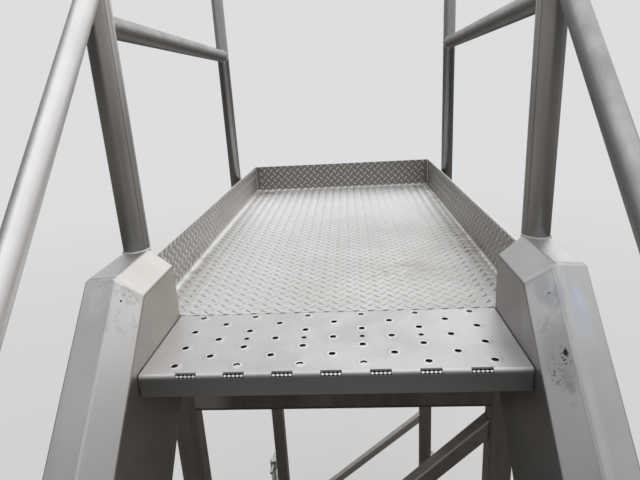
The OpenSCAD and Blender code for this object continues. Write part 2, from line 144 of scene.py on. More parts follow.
def weathering_group():
    """Patches, downward streaks, blasted grain and dark specks, in metres of the object."""
    tree = bpy.data.node_groups.new("weathering", "ShaderNodeTree")
    scale = tree.interface.new_socket("Patch scale", in_out="INPUT", socket_type="NodeSocketFloat")
    scale.default_value = 5.0
    for name in ("Patches", "Streaks", "Grain", "Specks"):
        tree.interface.new_socket(name, in_out="OUTPUT", socket_type="NodeSocketFloat")
    given = put(tree, "NodeGroupInput").outputs[0]
    place = put(tree, "ShaderNodeTexCoord").outputs["Object"]
    drawn_out = put(tree, "ShaderNodeMapping", {"Vector": place, "Scale": (1.0, 1.0, 0.08)})
    broad = put(tree, "ShaderNodeTexNoise", {
        "Vector": place, "Scale": given, "Detail": 5.0, "Roughness": 0.62, "Distortion": 0.5})
    runs = put(tree, "ShaderNodeTexNoise", {
        "Vector": drawn_out.outputs[0], "Scale": 38.0, "Detail": 3.0})
    fine = put(tree, "ShaderNodeTexNoise", {"Vector": place, "Scale": 900.0, "Detail": 2.0})
    dots = put(tree, "ShaderNodeTexNoise", {"Vector": place, "Scale": 120.0, "Detail": 3.0})
    out = put(tree, "NodeGroupOutput")
    feed(tree, out.inputs["Patches"], remap(tree, broad.outputs[0], 0.36, 0.66))
    feed(tree, out.inputs["Streaks"], remap(tree, runs.outputs[0], 0.4, 0.7))
    feed(tree, out.inputs["Grain"], fine.outputs[0])
    feed(tree, out.inputs["Specks"], remap(tree, dots.outputs[0], 0.7, 0.78))
    return tree


weathering = weathering_group()


def steel(name, clean, stained, rough=(0.4, 0.55), patch_scale=5.0, streaks=0.2, specks=0.15,
          grain=0.0002):
    """Steel finish that leans from a clean to a stained colour, in patches, runs and specks."""
    material = bpy.data.materials.new(name)
    material.use_nodes = True
    tree = material.node_tree
    surface = tree.nodes["Principled BSDF"]
    wear = put(tree, "ShaderNodeGroup", {"Patch scale": patch_scale}, node_tree=weathering)
    patches = wear.outputs["Patches"]
    run_share = times(tree, wear.outputs["Streaks"], streaks)
    speck_share = times(tree, wear.outputs["Specks"], specks)
    colour = tint(tree, patches, clean, stained)
    colour = tint(tree, run_share, colour, [0.6 * value for value in stained])
    colour = tint(tree, speck_share, colour, [0.25 * value for value in stained])
    bump = put(tree, "ShaderNodeBump", {"Height": wear.outputs["Grain"], "Distance": grain})
    feed(tree, surface.inputs["Base Color"], colour)
    feed(tree, surface.inputs["Roughness"], remap(tree, patches, 0.0, 1.0, *rough))
    feed(tree, surface.inputs["Normal"], bump.outputs[0])
    surface.inputs["Metallic"].default_value = 1.0
    return material


def rounded(piece, edge=0.0, segments=2, sharp=35):
    """Smooth shading with crisp folds, its hard edges rounded where edge is given."""
    piece.data.shade_smooth()
    piece.data.set_sharp_from_angle(angle=math.radians(sharp))
    if edge:
        bevel = piece.modifiers.new("edges", "BEVEL")
        bevel.width, bevel.segments, bevel.limit_method = edge, segments, "ANGLE"
        bevel.angle_limit = math.radians(sharp)
        bevel.harden_normals = True
    piece.modifiers.new("flats", "WEIGHTED_NORMAL").keep_sharp = True


def add(name, mesh, material):
    """New object that shows a mesh in one material."""
    piece = bpy.data.objects.new(name, mesh)
    mesh.materials.clear()
    mesh.materials.append(material)
    bpy.context.scene.collection.objects.link(piece)
    return piece


def clean_copy(node):
    """Copy of a CAD node's mesh with its loose triangles merged into whole faces."""
    shape = bmesh.new()
    shape.from_mesh(frame["nodes"][node].data)
    bmesh.ops.remove_doubles(shape, verts=shape.verts, dist=0.00002)
    bmesh.ops.dissolve_limit(shape, angle_limit=math.radians(0.5), verts=shape.verts, edges=shape.edges)
    mesh = bpy.data.meshes.new(node + "_finished")
    shape.to_mesh(mesh)
    shape.free()
    return mesh


def finished(node, material, edge=0.0, segments=2):
    """Stands for a CAD node: the same shape with rolled edges and the real finish."""
    piece = add(node + "_finished", clean_copy(node), material)
    rounded(piece, edge, segments)
    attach(piece, frame["nodes"][node]["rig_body"])
    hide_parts(node)
    return piece


# Painted shade: the frame steel is darker than the steel above it, as the deck shades it
frame_steel = steel("pickled_frame_steel", (0.4, 0.372, 0.343), (0.335, 0.307, 0.279),
                    rough=(0.44, 0.56), patch_scale=4.0, streaks=0.35, grain=0.0003)
# Each node with the radius of its rolled corners
for node, edge in (
    ("base_side_tubes", 0.005), ("base_crossmembers", 0.005), ("platform_legs", 0.005),
    ("deck_frame", 0.003), ("foot_crossbar", 0.005), ("tow_lug", 0.0012),
    ("axle_brackets", 0.0012), ("jack_sleeves", 0.003),
):
    finished(node, frame_steel, edge)


# Braces and front beam. Angle, tube and channel cut from stock and welded between the legs.
# The angle is brighter along its fold, and the beam's left end carries a painted reflection.
# The beam is darker along its lower lip, and both are painted dark as shade under the top tread.
def axes(tree, source=None):
    """The three coordinates of a vector, or of the point itself in a geometry tree."""
    place = source or put(tree, "GeometryNodeInputPosition").outputs[0]
    return put(tree, "ShaderNodeSeparateXYZ", {0: place}).outputs


def over_colour(material, mask, colour):
    """Lays one more colour over what feeds a finish."""
    tree = material.node_tree
    base = tree.nodes["Principled BSDF"].inputs["Base Color"]
    below = base.links[0].from_socket
    feed(tree, base, tint(tree, mask, below, colour))


def object_axes(material):
    """The three coordinates of the shaded point, for masks on a finish."""
    tree = material.node_tree
    return tree, axes(tree, put(tree, "ShaderNodeTexCoord").outputs["Object"])


# Painted light: the rear brace is made pale for the light that falls on its face from the front
brace_steel = steel("brushed_brace_steel", (0.8, 0.78, 0.76), (0.7, 0.68, 0.655), rough=(0.4, 0.5))
finished("rear_brace", brace_steel, 0.003)

# Painted shade: the angle and the beam are dark for the shade under the top tread
angle_steel = steel("front_angle_steel", (0.42, 0.395, 0.37), (0.36, 0.335, 0.31), rough=(0.4, 0.5),
                    streaks=0.3)
tree, (across, along, height) = object_axes(angle_steel)
# The angle's fold falls at 45 degrees and would meet the deck's level at fold_start
fold_start, fold_y = 0.587, deck_edge_y + 0.037
fold_drop = minus(tree, across, height, fold_start - deck_z)
off_fold = times(tree, calc(tree, "ABSOLUTE", fold_drop), math.sqrt(0.5))
at_front = remap(tree, along, fold_y, fold_y + 0.004, 1.0, 0.0)
rubbed = times(tree, remap(tree, off_fold, 0.0012, 0.0036, 1.0, 0.0), at_front)
over_colour(angle_steel, rubbed, (0.85, 0.84, 0.83))
finished("front_brace", angle_steel, 0.0012)

beam_steel = steel("front_beam_steel", (0.31, 0.283, 0.258), (0.26, 0.235, 0.212), rough=(0.44, 0.56),
                   patch_scale=5.0, streaks=0.35)
tree, (across, along, height) = object_axes(beam_steel)
# Painted reflection on the beam's left end
over_colour(beam_steel, remap(tree, across, -0.27, -0.22, 0.9, 0.0), (0.62, 0.6, 0.58))
beam_low = deck_z - 0.236
# Darker along the beam's lower lip
over_colour(beam_steel, remap(tree, height, beam_low + 0.004, beam_low + 0.009, 0.85, 0.0),
            (0.13, 0.12, 0.11))
finished("front_leg_beam", beam_steel, 0.0025, 3)


# Stringers. Two closed boxes folded and welded from sheet, bead-blasted, with a bevel on
# their inner side. Years of shoes and sleeves left pale smears and one black scuff on them.
# Light and shade are painted on them face by face.
knee_y = deck_edge_y - 0.139
bevel_rise = 0.12
# Half widths of the pair: to the inner walls, the ridges beside the bevels and the outer faces
wall_x, ridge_x, outer_x = 0.3, 0.342, 0.387
going, riser = 0.2, deck_z / 9
slope = math.atan(riser / going)


def near(tree, place, centre, reach):
    """Mask that falls from 1 at a place on the object to 0 at reach, one length per axis."""
    scale = [1 / length for length in reach]
    moved = [-value * factor for value, factor in zip(centre, scale)]
    local = put(tree, "ShaderNodeMapping", {"Vector": place, "Location": moved, "Scale": scale})
    away = put(tree, "ShaderNodeVectorMath", {0: local.outputs[0]}, operation="LENGTH")
    return remap(tree, away.outputs["Value"], 0.35, 1.0, 1.0, 0.0)


def marks(material, centre, reach, size, colour, share, lean, cut):
    """Lays broken marks over a finish, thickest at their centre. Where they lean, they are
    drawn out down the slope and turned on its face by that angle. A low cut makes them dense."""
    tree = material.node_tree
    place = put(tree, "ShaderNodeTexCoord").outputs["Object"]
    pattern = place
    if lean is not None:
        turned = put(tree, "ShaderNodeMapping", {"Vector": place, "Rotation": (-slope, 0.0, lean)})
        pattern = put(tree, "ShaderNodeMapping", {
            "Vector": turned.outputs[0], "Scale": (1.0, 0.12, 1.0)}).outputs[0]
    flecks = put(tree, "ShaderNodeTexNoise", {
        "Vector": pattern, "Scale": 1 / size, "Detail": 4.0, "Roughness": 0.6})
    broken = times(tree, remap(tree, flecks.outputs[0], *cut), share)
    over_colour(material, times(tree, near(tree, place, centre, reach), broken), colour)


def on_slope(x, down, lift):
    """Place on a stringer at a distance down the slope from its knee."""
    return (x, knee_y - down * math.cos(slope), deck_z + bevel_rise + lift - down * math.sin(slope))


grey_blue, pale_blue = (0.5, 0.525, 0.575), (0.6, 0.655, 0.745)
rubbed_black, rubbed_brown, rubbed_white = (0.03, 0.029, 0.028), (0.3, 0.28, 0.26), (0.95, 0.95, 0.95)
# Marks on a stringer, from the lowest layer up: place as x, way down and lift, reach, size of
# the flecks, colour, share, lean and cut
stringer_marks = {
    "left": (
        ((-0.362, 0.05, 0.029), (0.022, 0.05, 0.055), 0.02, (0.8, 0.8, 0.81), 0.2, None, (0.5, 0.6)),
        ((-0.36, 0.25, 0.02), (0.05, 0.16, 0.16), 0.05, (0.7, 0.7, 0.71), 0.2, None, (0.5, 0.6)),
        # The pale band across the left knee is partly wear and partly a painted highlight on the fold
        ((-0.345, -0.002, 0), (0.055, 0.008, 0.045), 0.05, (0.86, 0.85, 0.83), 0.7, None, (0.2, 0.4)),
        ((-0.345, 0.018, 0), (0.06, 0.02, 0.03), 0.006, (0.3, 0.3, 0.295), 0.5, None, (0.4, 0.62)),
        ((-0.32, 0.05, 0), (0.06, 0.06, 0.06), 0.012, (0.5, 0.5, 0.49), 0.35, None, (0.5, 0.68)),
        ((-0.36, 0.018, 0.029), (0.025, 0.016, 0.018), 0.005, (0.33, 0.34, 0.33), 0.4, None, (0.42, 0.6)),
        ((-0.3267, 0.0406, 0.0163), (0.0022, 0.003, 0.003), 0.05, (0.04, 0.04, 0.04), 1.0, None, (0.1, 0.2)),
    ),
    "right": (
        ((0.33, 0.14, 0.02), (0.04, 0.07, 0.07), 0.05, (0.58, 0.575, 0.57), 0.7, None, (0.15, 0.35)),
        ((0.321, 0.036, 0.009), (0.018, 0.026, 0.034), 0.014, grey_blue, 0.5, 0.75, (0.34, 0.56)),
        ((0.33, 0.066, 0.021), (0.014, 0.03, 0.034), 0.012, grey_blue, 0.45, 0.75, (0.36, 0.56)),
        ((0.315, 0.083, 0.002), (0.012, 0.025, 0.03), 0.012, grey_blue, 0.4, 0.75, (0.4, 0.58)),
        ((0.32, 0.078, 0.008), (0.015, 0.026, 0.03), 0.006, rubbed_white, 0.5, 0.75, (0.48, 0.58)),
        ((0.339, 0.06, 0.031), (0.009, 0.032, 0.03), 0.03, grey_blue, 0.7, 0.0, (0.3, 0.55)),
        ((0.361, 0.085, 0.029), (0.017, 0.06, 0.065), 0.03, pale_blue, 0.85, -0.35, (0.36, 0.58)),
        ((0.357, 0.052, 0.029), (0.008, 0.028, 0.03), 0.02, grey_blue, 0.6, -0.35, (0.36, 0.58)),
        ((0.33, 0.141, 0.021), (0.004, 0.008, 0.008), 0.004, rubbed_black, 0.95, None, (0.3, 0.42)),
        ((0.3285, 0.145, 0.0185), (0.009, 0.02, 0.022), 0.004, rubbed_black, 0.85, None, (0.52, 0.58)),
        ((0.317, 0.152, 0.0045), (0.012, 0.026, 0.028), 0.005, rubbed_black, 0.6, None, (0.54, 0.62)),
        ((0.326, 0.187, 0.016), (0.009, 0.03, 0.03), 0.03, rubbed_brown, 0.45, None, (0.4, 0.6)),
        ((0.3265, 0.048, 0.0162), (0.0026, 0.002, 0.0022), 0.05, rubbed_black, 0.8, None, (0.1, 0.2)),
    ),
}


def stringer_finish(side):
    """Finish of one stringer, with light and shade painted face by face: a cool painted reflection on its
    outer faces, a warm one on the bevel, and painted shade low on the inner wall and along its folds.
    """
    # Each face has its own tone on each side as painted light and shade, and a second tone low down
    cap_outer, cap_bevel, slope_outer, outer_low, slope_bevel, bevel_low, inner, inner_low = {
        "left": ((0.78, 0.783, 0.79), (0.85, 0.82, 0.765), (0.55, 0.551, 0.558), (0.7, 0.701, 0.705),
                 (0.9, 0.882, 0.858), (0.65, 0.636, 0.618), (0.42, 0.382, 0.347), (0.24, 0.228, 0.215)),
        "right": ((0.84, 0.837, 0.83), (0.55, 0.542, 0.538), (0.54, 0.532, 0.52), (0.54, 0.532, 0.521),
                  (0.96, 0.955, 0.95), (0.82, 0.815, 0.81), (0.27, 0.257, 0.246), (0.2, 0.192, 0.184)),
    }[side]
    fold_softness, ridge_grey = {"left": (0.004, 0.64), "right": (0.016, 0.5)}[side]
    material = steel(f"blasted_sheet_{side}", cap_outer, [0.9 * value for value in cap_outer],
                     rough=(0.42, 0.5), patch_scale=6.0, streaks=0.05, specks=0.12)
    tree, (across, along, height) = object_axes(material)
    width = calc(tree, "ABSOLUTE", across)
    risen = remap(tree, height, deck_z - 0.03, deck_z + 0.1)
    outer = tint(tree, risen, outer_low, slope_outer)
    over_colour(material, remap(tree, along, knee_y - 0.004, knee_y + 0.004, 0.85, 0.0), outer)
    over_colour(material, remap(tree, width, outer_x - 0.0015, outer_x - 0.0002, 0.0, 0.85), outer)
    past_fold = plus(tree, along, times(tree, 0.36, minus(tree, width, wall_x)))
    on_cap = remap(tree, past_fold, knee_y - fold_softness, knee_y + fold_softness)
    # The ridge leans inwards by 5 mm on its last half metre below the knee
    climbed = calc(tree, "MAXIMUM", minus(tree, along, knee_y - 0.4905), 0.0)
    leaning = times(tree, climbed, 0.00985, remap(tree, along, knee_y - 0.0134, knee_y - 0.0096, 1.0, 0.0))
    past_ridge = plus(tree, minus(tree, width, ridge_x), leaning)
    bevel = tint(tree, risen, bevel_low, slope_bevel)
    on_bevel = remap(tree, past_ridge, -0.001, 0.0015, 0.85, 0.0)
    over_colour(material, on_bevel, tint(tree, on_cap, bevel, cap_bevel))
    # Painted shade along the right stringer's fold damps its highlight
    if side == "right":
        off_fold = calc(tree, "ABSOLUTE", minus(tree, past_fold, knee_y))
        dulled = times(tree, remap(tree, off_fold, 0.0012, 0.004, 0.4, 0.0),
                       remap(tree, width, ridge_x - 0.006, ridge_x - 0.001, 1.0, 0.0))
        over_colour(material, dulled, (0.5, 0.497, 0.493))
    # Painted shade: the inner wall is darker low down, under the treads
    wall = tint(tree, remap(tree, height, deck_z - 0.2, deck_z + 0.03), inner_low, inner)
    over_colour(material, remap(tree, width, wall_x + 0.0003, wall_x + 0.002, 0.85, 0.0), wall)
    # Painted shade along the rounded ridge damps its highlight
    off_ridge = calc(tree, "ABSOLUTE", past_ridge)
    over_colour(material, remap(tree, off_ridge, 0.0015, 0.0035, 0.6, 0.0), [ridge_grey] * 3)
    # The strip beside the right ridge is lighter, partly wear and partly a painted highlight
    if side == "right":
        beside_ridge = times(tree, remap(tree, past_ridge, 0.001, 0.005),
                             remap(tree, past_ridge, 0.009, 0.018, 0.45, 0.0))
        over_colour(material, beside_ridge, (0.72, 0.71, 0.695))
    for place, *mark in stringer_marks[side]:
        marks(material, on_slope(*place), *mark)
    return material


for side in ("left", "right"):
    finished(f"stringer_{side}", stringer_finish(side), 0.0025, 3)


# Deck. One sheet of stainless tread plate, folded up on three sides into kick plates with
# welded corners. Its raised bars lean left and right by turns and are rolled into the sheet.
plate_steel = steel("tread_plate", (0.79, 0.778, 0.765), (0.73, 0.717, 0.703),
                    rough=(0.48, 0.54), patch_scale=6.0, streaks=0.0, specks=0.1)
bar_steel = steel("worn_tread_bars", (0.77, 0.76, 0.748), (0.71, 0.7, 0.685),
                  rough=(0.36, 0.42), patch_scale=12.0, streaks=0.0, specks=0.0)
left_kick, left_bend, right_kick = -0.357, -0.345, 0.35
# Light is painted onto the sheet at the far end and on the left, where it lies bright
for metal in (plate_steel, bar_steel):
    tree, (across, along, height) = object_axes(metal)
    level = remap(tree, height, deck_z + 0.003, deck_z + 0.01, 1.0, 0.0)
    left_share = times(tree, level, remap(tree, across, -0.3, 0.02, 0.8, 0.0))
    far_share = times(tree, level,
                      remap(tree, along, deck_edge_y + 0.45, deck_edge_y + 1.05, 0.0, 0.85))
    over_colour(metal, left_share, (0.94, 0.93, 0.92))
    over_colour(metal, far_share, (0.97, 0.96, 0.95))
# The kick plates are painted darker as shade from a little way up the bend, and their cut rim carries a
# painted highlight
tree, (across, along, height) = object_axes(plate_steel)
kick_colour = tint(tree, remap(tree, across, left_kick, left_kick + 0.004),
                   (0.42, 0.402, 0.378), (0.3, 0.287, 0.271))
bent_low = remap(tree, height, deck_z + 0.0005, deck_z + 0.005, 0.0, 0.9)
bent_high = remap(tree, height, deck_z + 0.005, deck_z + 0.012, 0.0, 0.9)
bent = put(tree, "ShaderNodeMix", {
    0: remap(tree, across, left_bend, left_bend + 0.01), 2: bent_high, 3: bent_low}).outputs[0]
over_colour(plate_steel, bent, kick_colour)
rim_depth = remap(tree, across, right_kick, right_kick + 0.006, 0.002, 0.005)
below_rim = calc(tree, "DIVIDE", minus(tree, deck_high.z, height), rim_depth)
over_colour(plate_steel, remap(tree, below_rim, 0.8, 1.0, 1.0, 0.0), (0.98, 0.975, 0.97))
# The bars are darker at their foot on the side towards the near edge, less so far off, and are painted
# darker as shade on the right kick plate
tree, (across, along, height) = object_axes(bar_steel)
facing = put(tree, "ShaderNodeNewGeometry").outputs["Normal"]
near_side = remap(tree, axes(tree, facing)[1], -0.42, -0.12, 0.75, 0.0)
foot = times(tree, remap(tree, height, deck_z + 0.0007, deck_z + 0.0014, 1.0, 0.0),
             remap(tree, along, deck_edge_y + 0.5, deck_edge_y + 1.0, 1.0, 0.15))
over_colour(bar_steel, times(tree, near_side, foot), (0.3, 0.285, 0.265))
over_colour(bar_steel, remap(tree, across, right_kick, right_kick + 0.004, 0.0, 0.5), (0.42, 0.41, 0.4))
# Brown stains lie in the corners and along the kick plates
rust_brown = (0.17, 0.12, 0.08)
for x, y, reach, share in (
    (-0.3, 1.14, (0.09, 0.07, 0.03), 0.5), (0.29, 1.14, (0.1, 0.07, 0.03), 0.5),
    (0.34, 0.42, (0.05, 0.22, 0.03), 0.28), (0.35, 0.95, (0.03, 0.25, 0.05), 0.3),
    (-0.35, 0.3, (0.03, 0.2, 0.05), 0.3), (0.15, 0.2, (0.14, 0.1, 0.03), 0.18),
):
    for metal in (plate_steel, bar_steel):
        marks(metal, (x, deck_edge_y + y, deck_z), reach, 0.03, rust_brown, share, None, (0.42, 0.62))
finished("deck_tray", plate_steel, 0.0006)


def geometry_tree(name, sizes):
    """Empty geometry tree with named number inputs, its group input and its group output."""
    tree = bpy.data.node_groups.new(name, "GeometryNodeTree")
    tree.interface.new_socket("Geometry", in_out="INPUT", socket_type="NodeSocketGeometry")
    for label, value in sizes.items():
        kind = "Int" if isinstance(value, int) else "Vector" if isinstance(value, tuple) else "Float"
        socket = tree.interface.new_socket(label, in_out="INPUT", socket_type="NodeSocket" + kind)
        socket.default_value = value
    tree.interface.new_socket("Geometry", in_out="OUTPUT", socket_type="NodeSocketGeometry")
    return tree, put(tree, "NodeGroupInput").outputs, put(tree, "NodeGroupOutput").inputs[0]


def grow(name, tree, start, material, **sizes):
    """Runs a geometry tree on a start mesh and keeps the result as a plain mesh."""
    piece = add(name, start, material)
    maker = piece.modifiers.new("maker", "NODES")
    maker.node_group = tree
    for item in tree.interface.items_tree:
        if item.in_out == "INPUT" and item.name in sizes:
            maker[item.identifier] = sizes[item.name]
    graph = bpy.context.evaluated_depsgraph_get()
    result = bpy.data.meshes.new_from_object(piece.evaluated_get(graph))
    piece.modifiers.remove(maker)
    piece.data = result
    return piece


def form(tree, kind, inputs=None, **settings):
    """What one geometry node puts out."""
    return put(tree, "GeometryNode" + kind, inputs, **settings).outputs[0]


def joined(tree, *parts):
    """Several geometries as one."""
    made = put(tree, "GeometryNodeJoinGeometry")
    for part in parts:
        tree.links.new(part, made.inputs[0])
    return made.outputs[0]


def ended(tree, out, geometry, material):
    """Ends a geometry tree with Realize Instances and Set Material."""
    real = form(tree, "RealizeInstances", {0: geometry})
    feed(tree, out, form(tree, "SetMaterial", {"Geometry": real, "Material": material}))
    return tree


def vector(tree, x, y, z):
    """Vector put together from three values or sockets."""
    return put(tree, "ShaderNodeCombineXYZ", {0: x, 1: y, 2: z}).outputs[0]


def folded(tree, along, flat, radius, height):
    """Where a flat blank's coordinate and its lift go when the blank is bent up past flat."""
    size = calc(tree, "ABSOLUTE", along)
    past = calc(tree, "MAXIMUM", minus(tree, size, flat), 0.0)
    turn = calc(tree, "MINIMUM", calc(tree, "DIVIDE", past, radius), math.pi / 2)
    arc = times(tree, radius, turn)
    straight = minus(tree, past, arc)
    inner = minus(tree, radius, height)
    reach = plus(tree, calc(tree, "MINIMUM", size, flat), times(tree, inner, calc(tree, "SINE", turn)))
    rise = times(tree, inner, minus(tree, 1.0, calc(tree, "COSINE", turn)))
    return (times(tree, reach, calc(tree, "SIGN", along)), plus(tree, rise, straight))


def tear_bar_tree(material):
    """Bars of the tread plate, laid out on its flat blank and folded up with it."""
    tree, given, out = geometry_tree("tear_bars", {
        "Bar length": 0.0225, "Bar width": 0.0064, "Bar height": 0.0016, "Sunk": 0.0002,
        "Pitch across": 0.028, "Pitch along": 0.0275, "Columns": 34, "Rows": 49,
        "Flat half width": 0.346, "Flat length": 1.2, "Bend radius": 0.012,
        "Half width": 0.4565, "Length": 1.3105, "Notch length": 0.04})
    # One bar: a pointed lens, crowned across its width and flattening towards its ends
    lens_grid = form(tree, "MeshGrid", {"Size X": 2.0, "Size Y": 2.0, "Vertices X": 7, "Vertices Y": 5})
    u, v, _ = axes(tree)
    taper = minus(tree, 1.0, times(tree, u, u))
    crown = calc(tree, "SQRT", minus(tree, 1.0, times(tree, v, v)))
    swell = times(tree, crown, calc(tree, "SQRT", taper))
    half_length = times(tree, given["Bar length"], 0.5)
    half_width = times(tree, given["Bar width"], 0.5)
    bar = form(tree, "SetPosition", {
        "Geometry": lens_grid,
        "Position": vector(
            tree,
            times(tree, u, half_length),
            times(tree, v, times(tree, half_width, taper)),
            minus(tree, times(tree, swell, given["Bar height"]), given["Sunk"]))})
    bar = form(tree, "MergeByDistance", {"Geometry": bar, "Distance": 1e-6})
    # Two lattices on the flat blank, half a pitch apart, leaning opposite ways
    bars = []
    for lean, shift in ((-math.pi / 4, 0.5), (math.pi / 4, 0.0)):
        span_x = times(tree, given["Pitch across"], minus(tree, given["Columns"], 1.0))
        span_y = times(tree, given["Pitch along"], minus(tree, given["Rows"], 1.0))
        lattice = form(tree, "MeshGrid", {
            "Size X": span_x, "Size Y": span_y,
            "Vertices X": given["Columns"], "Vertices Y": given["Rows"]})
        to_place = vector(
            tree,
            times(tree, given["Pitch across"], shift),
            plus(tree, times(tree, span_y, 0.5), times(tree, given["Pitch along"], shift)),
            0.0)
        placed = form(tree, "Transform", {"Geometry": lattice, "Translation": to_place})
        bars.append(form(tree, "InstanceOnPoints", {
            "Points": placed, "Instance": bar, "Rotation": (0, 0, lean)}))
    # Bars off the blank go: past its rims, in its two far corners, in the post notches
    x, y, _ = axes(tree)
    wide = calc(tree, "ABSOLUTE", x)
    past_side = calc(tree, "GREATER_THAN", wide, given["Flat half width"])
    far = times(tree, past_side, calc(tree, "GREATER_THAN", y, given["Flat length"]))
    notch = times(tree, past_side, calc(tree, "LESS_THAN", y, given["Notch length"]))
    beyond = plus(tree, calc(tree, "GREATER_THAN", wide, given["Half width"]),
                  calc(tree, "GREATER_THAN", y, given["Length"]))
    gone = plus(tree, far, notch, beyond)
    off_blank = calc(tree, "GREATER_THAN", gone, 0.5)
    kept = form(tree, "DeleteGeometry", {
        "Geometry": joined(tree, *bars), "Selection": off_blank}, domain="INSTANCE")
    real = form(tree, "RealizeInstances", {0: kept})
    # Bars on a rim are cut there, and then the blank is folded
    x, y, z = axes(tree)
    cut_x = calc(tree, "MAXIMUM", calc(tree, "MINIMUM", x, given["Half width"]),
                 times(tree, given["Half width"], -1.0))
    cut_y = calc(tree, "MAXIMUM", calc(tree, "MINIMUM", y, given["Length"]), 0.0)
    new_x, lift_x = folded(tree, cut_x, given["Flat half width"], given["Bend radius"], z)
    new_y, lift_y = folded(tree, cut_y, given["Flat length"], given["Bend radius"], z)
    height = plus(tree, z, plus(tree, lift_x, lift_y))
    bent = form(tree, "SetPosition", {"Geometry": real, "Position": vector(tree, new_x, new_y, height)})
    smooth = form(tree, "SetShadeSmooth", {0: bent})
    return ended(tree, out, smooth, material)


bars = grow("tear_bars", tear_bar_tree(bar_steel), bpy.data.meshes.new("blank"), bar_steel)
bars.data.transform(Matrix.Translation((0, deck_edge_y, deck_z)))
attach(bars, "chassis")


# Treads. Folded sheets with a bent nosing. Each has two interleaved grids of holes with
# pressed-up collars, four plain drain holes, and seven toothed slots cut through the nosing.
def grid_points(tree, columns, rows, pitch, first):
    """Points of a hole grid, from the row first behind the nosing upwards."""
    grid = form(tree, "MeshGrid", {
        "Size X": pitch[0] * (columns - 1), "Size Y": pitch[1] * (rows - 1),
        "Vertices X": columns, "Vertices Y": rows})
    middle_y = first + pitch[1] * (rows - 1) / 2
    return form(tree, "Transform", {"Geometry": grid, "Translation": (0.0, middle_y, 0.0)})


def instances(tree, points, piece):
    """One piece on each point."""
    return form(tree, "InstanceOnPoints", {"Points": points, "Instance": piece})


def flight(tree, given):
    """One point at the middle of each nosing."""
    return form(tree, "MeshLine", {
        "Count": given["Treads"], "Start Location": given["First nosing"],
        "Offset": given["Step down"]}, mode="OFFSET")


def ring(tree, radius, thickness, flat):
    """Flattened ring that lies on a tread round one of its holes."""
    rail = form(tree, "CurvePrimitiveCircle", {"Resolution": 20, "Radius": radius})
    section = form(tree, "CurvePrimitiveCircle", {"Resolution": 8, "Radius": thickness})
    solid = form(tree, "CurveToMesh", {"Curve": rail, "Profile Curve": section})
    laid = form(tree, "Transform", {"Geometry": solid, "Scale": vector(tree, 1.0, 1.0, flat)})
    return form(tree, "SetShadeSmooth", {0: laid})


hole_pitch, slot_pitch = (0.1, 0.057), (0.075, 0.057)
tread_depth, edge_to_hole = 0.212, 0.0143
last_row = tread_depth - edge_to_hole
# Size and place of a slot and of the strip behind all slots, from the middle of the nosing, and
# the half size and place of a tooth, which leans back with the bend
slot_size, slot_place = (0.0325, 0.0105, 0.0078), (0, 0.0014, -0.0039)
strip_size, strip_place = (0.58, 0.002, 0.0135), (0, 0.0135, -0.0093)
tooth_size, tooth_place = (0.0032, 0.0022, 0.0014), (0, 0.001, -0.0036)
tooth_pitch, tooth_lean = 0.0064, math.radians(49)
tread_inputs = {"Treads": 1, "First nosing": (0.0, 0.0, 0.0), "Step down": (0.0, -0.2, -0.2)}


def hole_spots(tree):
    """The middle of each raised hole of one tread, on two grids half a pitch apart."""
    return joined(
        tree,
        grid_points(tree, 6, 4, hole_pitch, last_row - 3 * hole_pitch[1]),
        grid_points(tree, 5, 3, hole_pitch, last_row - 2.5 * hole_pitch[1]))


def perforation_tree(material):
    """Cuts the holes and slots out of the start mesh, and adds the dimples round the holes and
    the flat strip that closes the view through the slots."""
    tree, given, out = geometry_tree("perforated_treads", {
        **tread_inputs, "Hole radius": 0.0056, "Drain radius": 0.0044, "Dimple radius": 0.0095,
        "Dimple width": 0.0036, "Dimple height": 0.12, "Sheet": 0.003})
    holes = hole_spots(tree)
    drains = grid_points(tree, 4, 1, hole_pitch, last_row - 1.5 * hole_pitch[1])
    slots = grid_points(tree, 7, 1, slot_pitch, 0.0)
    depth = times(tree, given["Sheet"], 4.0)
    punch = form(tree, "MeshCylinder", {"Vertices": 20, "Radius": given["Hole radius"], "Depth": depth})
    drill = form(tree, "MeshCylinder", {
        "Vertices": 16, "Radius": given["Drain radius"], "Depth": depth})
    slot = form(tree, "MeshCube", {"Size": slot_size})
    slot = form(tree, "Transform", {"Geometry": slot, "Translation": slot_place})
    cutters = joined(tree, instances(tree, holes, punch), instances(tree, drains, drill),
                     instances(tree, slots, slot))
    line = flight(tree, given)
    cutters = form(tree, "RealizeInstances", {0: instances(tree, line, cutters)})
    strip = form(tree, "MeshCube", {"Size": strip_size})
    strip = form(tree, "Transform", {"Geometry": strip, "Translation": strip_place})
    plate = form(tree, "MeshBoolean", {"Mesh 1": given["Geometry"], "Mesh 2": cutters},
                 operation="DIFFERENCE", solver="EXACT")
    dimple = ring(tree, given["Dimple radius"], given["Dimple width"], given["Dimple height"])
    dimples = instances(tree, line, instances(tree, holes, dimple))
    whole = joined(tree, plate, dimples, instances(tree, line, strip))
    return ended(tree, out, whole, material)


